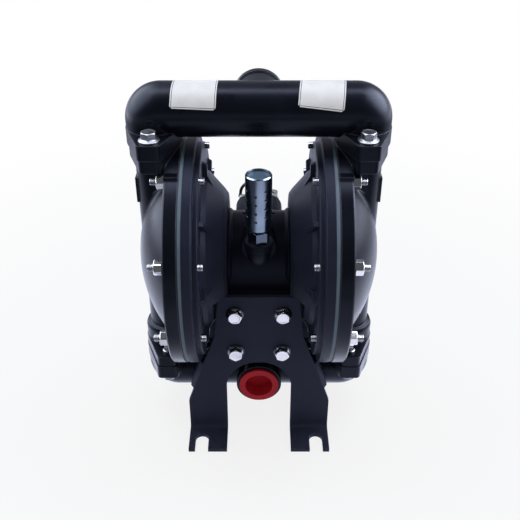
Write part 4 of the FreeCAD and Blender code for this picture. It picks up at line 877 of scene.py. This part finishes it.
# The collars of the bracket screws lie in the dark of the bracket, and their zinc is darkened
# there as painted shade. The seats of front and rear are equally far from the middle, so one
# distance serves both.
collar_end = seat + bracket_screw["collar_height"] + 0.0002
collar_painted_shade = (0.07, 0.075, 0.09)
tint_from(bracket_bolt_zinc_painted_shade, 1, collar_end, -0.0002, collar_painted_shade)
flange_bolt = {
    "width": 0.0108, "head": 0.0054, "collar": 0.0081, "collar_height": 0.002, "shank": 0.004
}
flange_bolt_height = flange_bolt["head"] + flange_bolt["collar_height"]
flange_bolt_x, flange_bolt_y = 0.0822, 0.030
for kind, direction in (("discharge", 1), ("suction", -1)):
    low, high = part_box(kind + "_flange_bolts")
    seat = high.z - flange_bolt_height if direction > 0 else low.z + flange_bolt_height
    length = high.z - low.z - flange_bolt_height
    places = [(sx * flange_bolt_x, sy * flange_bolt_y, seat) for sx in (-1, 1) for sy in (-1, 1)]
    grids = [
        turn_to(flanged_bolt(length=length, turn=turn, **flange_bolt), (0, 0, direction), place)
        for place, turn in zip(places, turns(4, 0.29))
    ]
    finish_bolts("bolts_" + kind, kind + "_flange_bolts", grids, flange_zinc_painted_dark)
rim_nut_width, rim_nut_height, nut_clearance = 0.011, 0.0067, 0.00005
for side, sign in (("left", -1), ("right", 1)):
    low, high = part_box("rim_nuts_" + side)
    seat = sign * min(abs(low.x), abs(high.x))
    grids = [
        turn_to(
            hex_nut(rim_nut_width, rim_nut_height, stud_radius + nut_clearance, turn),
            (sign, 0, 0), on_stud_circle(seat, angle),
        )
        for angle, turn in zip(stud_angles, turns(stud_count, 0.41))
    ]
    finish_bolts("nuts_" + side, "rim_nuts_" + side, grids, closed_ends=False)

# %% [markdown]
# The outlet port and the air inlet have pipe threads inside. A thread in a bore is the same
# wave as on a stud, with its ridges pointing inwards. It is a thin sleeve whose outer wall
# is buried in the metal of the boss, so only the ridges show.

# %% Threads inside the ports
skin, buried = 0.00002, 0.00005


def thread_sleeve(length, radius, pitch, depth, columns=48):
    """A ring along +Z. The inner radius is the bore's radius minus depth times the triangle
    wave of (height / pitch - angle / full turn), fading out over one pitch at both ends. The
    outer wall lies a twentieth of a millimetre deep in the metal."""
    z = np.arange(0.0, length, pitch / 6)
    angle = np.linspace(0, 2 * np.pi, columns, endpoint=False)
    height, a = np.meshgrid(z, angle, indexing="ij")
    wave = 1 - np.abs((height / pitch - a / (2 * np.pi)) % 1.0 - 0.5) * 2
    fade = np.clip(np.minimum(height, z[-1] - height) / pitch, 0, 1)
    r = radius - skin - depth * wave * fade
    inner = np.stack([r * np.cos(a), r * np.sin(a), height], -1)
    wall = round_rows([(z[-1], radius + buried), (0.0, radius + buried)], angle)
    return np.concatenate([inner, wall])


for name, node, length, radius, pitch, depth, origin in (
    ("outlet_thread", "discharge_manifold", 0.0145, 0.0147, 0.0022, 0.0011, (0, 0.0347, 0.301)),
    ("air_inlet_thread", "air_cock_body", 0.011, 0.0056, 0.0013, 0.00065, (0, 0.1057, 0.166)),
):
    grid = turn_to(thread_sleeve(length, radius, pitch, depth), (0, -1, 0), origin)
    piece = surface_piece(name, [grid], finish_of_node[node], "housing", False)
    print(name, len(piece.data.polygons), "faces")

# %% [markdown]
# Two paper stickers sit on the front of the upper pipe. A sticker follows the pipe, so it is
# a patch of a cylinder: one parameter runs along the pipe, the other round it. They are blank
# paper with a thin printed frame line, and lie a tenth of a millimetre off the paint.

# %% Blank stickers
pipe_radius = 0.0215
pipe_height = 0.301
sticker_width = 0.0345
sticker_ends = math.radians(-30), math.radians(70)
sticker_lift = 0.00012
sticker_corner = 0.0018
line_inset, line_half_width = 0.0011, 0.00022


def sticker_material():
    """Matt white paper with a thin dark line inside its border, drawn on the piece's UV map:
    the line is where the distance to the nearest border is between two limits."""
    material = bpy.data.materials.new("sticker_paper")
    material.use_nodes = True
    tree = material.node_tree
    shader = tree.nodes["Principled BSDF"]
    place = add_node(tree, "UVMap")
    place.uv_map = "border"
    split = add_node(tree, "SeparateXYZ")
    nearest = add_node(tree, "Math", operation="MINIMUM")
    from_line = add_node(tree, "Math", operation="SUBTRACT")
    from_line.inputs[1].default_value = line_inset
    size = add_node(tree, "Math", operation="ABSOLUTE")
    line = add_node(tree, "Math", operation="LESS_THAN")
    line.inputs[1].default_value = line_half_width
    join(tree, place.outputs[0], split.inputs[0])
    join(tree, split.outputs[0], nearest.inputs[0])
    join(tree, split.outputs[1], nearest.inputs[1])
    join(tree, nearest.outputs[0], from_line.inputs[0])
    join(tree, from_line.outputs[0], size.inputs[0])
    join(tree, size.outputs[0], line.inputs[0])
    skin = place_group(tree, cast_skin, Grit_size=2500.0, Wave_size=120.0)
    tone = skin.outputs["Tone"]
    paper = mix_colours(tree, ramp(tree, tone, 0, 1), (0.68, 0.67, 0.65), (0.75, 0.74, 0.72))
    printed = mix_colours(tree, line.outputs[0], (0.7, 0.7, 0.68), (0.03, 0.03, 0.03))
    join(tree, paper.outputs[2], printed.inputs[6])
    join(tree, printed.outputs[2], shader.inputs["Base Color"])
    join(tree, ramp(tree, tone, 0.42, 0.55), shader.inputs["Roughness"])
    relief = add_node(tree, "Bump", Strength=0.08, Distance=0.0002)
    join(tree, skin.outputs["Height"], relief.inputs["Height"])
    join(tree, relief.outputs[0], shader.inputs["Normal"])
    return material


def sticker(name, middle_x, lean, tilt, material, rows=24, columns=40):
    """A patch of a cylinder about the pipe. Angles are measured from straight up towards the
    front. The patch leans: its lower edge is moved along the pipe by the lean, and its right
    end round the pipe by the tilt. Corners are rounded by pulling the outer columns in where
    they near the upper and lower edge."""
    low_angle, high_angle = sticker_ends
    width, corner = sticker_width, sticker_corner
    reach = pipe_radius * (high_angle - low_angle)
    v = np.linspace(0, 1, rows)
    short = np.clip(corner - np.minimum(v, 1 - v) * reach, 0, corner)
    inset = corner - np.sqrt(np.clip(corner**2 - short**2, 0, None))
    u = np.linspace(0, 1, columns)
    across = inset[:, None] + u[None, :] * (width - 2 * inset[:, None])
    angle = (low_angle + v * (high_angle - low_angle))[:, None] + tilt * (u[None, :] - 0.5)
    x = middle_x - width / 2 + across + lean * (v[:, None] - 0.5)
    r = pipe_radius + sticker_lift
    points = np.stack([x, -r * np.sin(angle), pipe_height + r * np.cos(angle)], -1)
    faces = grid_faces(rows, columns, False, False)
    piece = mesh_object(name, points.reshape(-1, 3).tolist(), faces.tolist())
    a, b = points[1, 0] - points[0, 0], points[0, 1] - points[0, 0]
    if np.cross(a, b)[2] < 0:
        piece.data.flip_normals()
    border = piece.data.uv_layers.new(name="border")
    near_u = np.minimum(across, width - across)
    near_v = np.minimum(v, 1 - v)[:, None] * reach * np.ones((1, columns))
    table = np.stack([near_u, near_v], -1).reshape(-1, 2)
    corners = np.zeros(len(piece.data.loops), int)
    piece.data.loops.foreach_get("vertex_index", corners)
    border.data.foreach_set("uv", table[corners].ravel())
    piece.data.shade_smooth()
    piece.data.materials.append(material)
    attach(piece, "housing")
    return piece


paper = sticker_material()
for name, middle_x, lean, tilt in (
    ("sticker_left", -0.0485, -0.0018, 0.06), ("sticker_right", 0.0483, -0.0036, 0.17)
):
    piece = sticker(name, middle_x, lean, tilt, paper)
    print(piece.name, len(piece.data.polygons), "faces")

# %% [markdown]
# The diaphragms are the one soft thing that works here. The rim is clamped, the middle moves
# with the shaft between its plates, and the rolled fold between the two bends. A rigid disc
# would be cut by its plates at every stroke, so each disc is divided there: the rim rides
# on the housing, the middle rides on the shaft, and the fold is made of eight sectors, which
# are attached to neither.

# %% Diaphragms divided at the plates
disc_low, disc_high = 0.0576, 0.0610
disc_bore, fold_in, fold_out = 0.00635, 0.047, 0.0746
rim_inner, rim_outer, stud_hole = 0.092, 0.0976, 0.0035
fold_rise = 0.0055
half_turn = math.pi / stud_count
sector_gap = 0.0003


def round_shaft(along, radius, angle, sign):
    """Points at a distance along the shaft, a radius from it and an angle round it."""
    across, up = radius * np.cos(angle), shaft_height + radius * np.sin(angle)
    return np.stack(np.broadcast_arrays(sign * along, across, up), -1)


def flat_ring(inner, outer, sign, columns):
    """A ring of four-cornered section, as a grid that wraps both ways."""
    along = np.array([disc_low, disc_low, disc_high, disc_high])[:, None]
    radius = np.array([inner, outer, outer, inner])[:, None]
    angle = np.linspace(0, 2 * np.pi, columns, endpoint=False)[None, :]
    return round_shaft(along, radius, angle, sign)


def holed_sector(middle, sign, count=13):
    """A sector of the clamped rim with the hole for its stud. Its outline runs along the
    inner arc, out, back along the outer arc, and in. Each point of the hole lies on the
    line from the hole's centre to a point of the outline. Two hundredths of a millimetre
    are left to the next sector, so each is a closed block by itself."""
    side = half_turn * (1 - sector_gap)
    turn = np.linspace(-side, side, count)
    reach = np.linspace(fold_out, rim_inner, count)
    flat = np.ones(count - 1)
    radius = np.concatenate([flat * fold_out, reach[:-1], flat * rim_inner, reach[:0:-1]])
    angle = middle + np.concatenate([turn[:-1], flat * side, turn[:0:-1], -flat * side])
    outline_y, outline_z = radius * np.cos(angle), radius * np.sin(angle)
    centre_y, centre_z = stud_circle * math.cos(middle), stud_circle * math.sin(middle)
    towards = np.arctan2(outline_z - centre_z, outline_y - centre_y)
    hole_y = centre_y + stud_hole * np.cos(towards)
    hole_z = centre_z + stud_hole * np.sin(towards)
    rows = [
        np.stack([np.full(y.shape, sign * x), y, shaft_height + z], -1)
        for x, y, z in (
            (disc_low, hole_y, hole_z), (disc_low, outline_y, outline_z),
            (disc_high, outline_y, outline_z), (disc_high, hole_y, hole_z),
        )
    ]
    return np.stack(rows)


def fold_height(radius):
    """How far the fold stands off the flat disc: the arc of a circle over its width, whose
    radius is (half width squared + rise squared) / (2 * rise)."""
    half = (fold_out - fold_in) / 2
    circle = (half**2 + fold_rise**2) / (2 * fold_rise)
    return np.sqrt(circle**2 - (radius - fold_in - half) ** 2) - (circle - fold_rise)


def fold_sector(name, middle, sign):
    """A closed block of points by angle, radius and face. Each of its six sides is a sheet of
    four-cornered faces. The two ends of its middle line, at the rim and at the plates, are
    worked out but not used."""
    angle = middle + np.linspace(-half_turn, half_turn, 17)
    radius = np.linspace(fold_in, fold_out, 25)
    a, r, face = np.meshgrid(angle, radius, [disc_low, disc_high], indexing="ij")
    points = round_shaft(face + fold_height(r), r, a, sign)
    index = np.arange(a.size).reshape(a.shape)
    sheets = [
        index[:, :, 0].T, index[:, :, 1], index[:, 0], index[:, -1].T, index[0].T, index[-1]
    ]
    faces = np.concatenate([
        np.stack([s[:-1, :-1], s[1:, :-1], s[1:, 1:], s[:-1, 1:]], -1).reshape(-1, 4)
        for s in sheets
    ])
    faces = faces[:, ::-1] if sign > 0 else faces
    piece = mesh_object(name, points.reshape(-1, 3).tolist(), [tuple(f) for f in faces.tolist()])
    piece.data.shade_smooth()
    piece.data.set_sharp_from_angle(angle=crease)
    piece.data.materials.append(ring_rubber)
    start, end = (
        tuple(map(float, round_shaft(disc_low, reach, middle, sign)))
        for reach in (fold_out * math.cos(half_turn), fold_in)
    )
    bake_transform(piece)
    return piece


for side, sign in (("left", -1.0), ("right", 1.0)):
    grids = {
        "rim": [holed_sector(middle, sign) for middle in stud_angles],
        "rim_edge": [flat_ring(rim_inner, rim_outer, sign, 256)],
        "middle": [flat_ring(disc_bore, fold_in, sign, 128)],
    }
    for part, body in (("rim", "housing"), ("rim_edge", "housing"), ("middle", "shaft")):
        piece = surface_piece(
            "diaphragm_" + part + "_" + side, grids[part], ring_rubber, body,
            False,
        )
        piece.data.set_sharp_from_angle(angle=crease)
        print(piece.name, len(piece.data.polygons), "faces")
        if part == "rim_edge":
            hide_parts("diaphragm_" + side)
    for number, middle in enumerate(stud_angles, 1):
        piece = fold_sector(f"diaphragm_fold_{side}_{number}", middle, sign)
    print("fold of", stud_count, "sectors of", len(piece.data.polygons), "faces")

# %% [markdown]
# The triangles of each fluid cap's dome meet in one point at its middle, and the light smears
# there. A smooth cap of the same sphere, two hundredths of a millimetre proud, covers that
# point. Its paint rounds no edge, so its outline doesn't show.

# %% Smooth middles of the domes
dome_centre, dome_radius, middle_radius = 0.0137074, 0.1149074, 0.007
proud, depth = 0.00002, 0.0004


def dome_middle(sign, rings=12, columns=64):
    """Rings of a shallow bowl from the middle out on the sphere, then back in below it."""
    outward = np.linspace(0.0002, middle_radius, rings)
    radius = np.concatenate([outward, outward[::-1]])[:, None]
    sphere = dome_radius + np.repeat([proud, -depth], rings)[:, None]
    along = np.sqrt(sphere**2 - radius**2) - dome_centre
    angle = np.linspace(0, 2 * np.pi, columns, endpoint=False)[None, :]
    return round_shaft(along, radius, angle, sign)


for side, sign in (("left", -1.0), ("right", 1.0)):
    piece = surface_piece(
        "dome_middle_" + side, [dome_middle(sign)], dome_paint, "housing"
    )
    piece.data.set_sharp_from_angle(angle=crease)
    print(piece.name, len(piece.data.polygons), "faces")
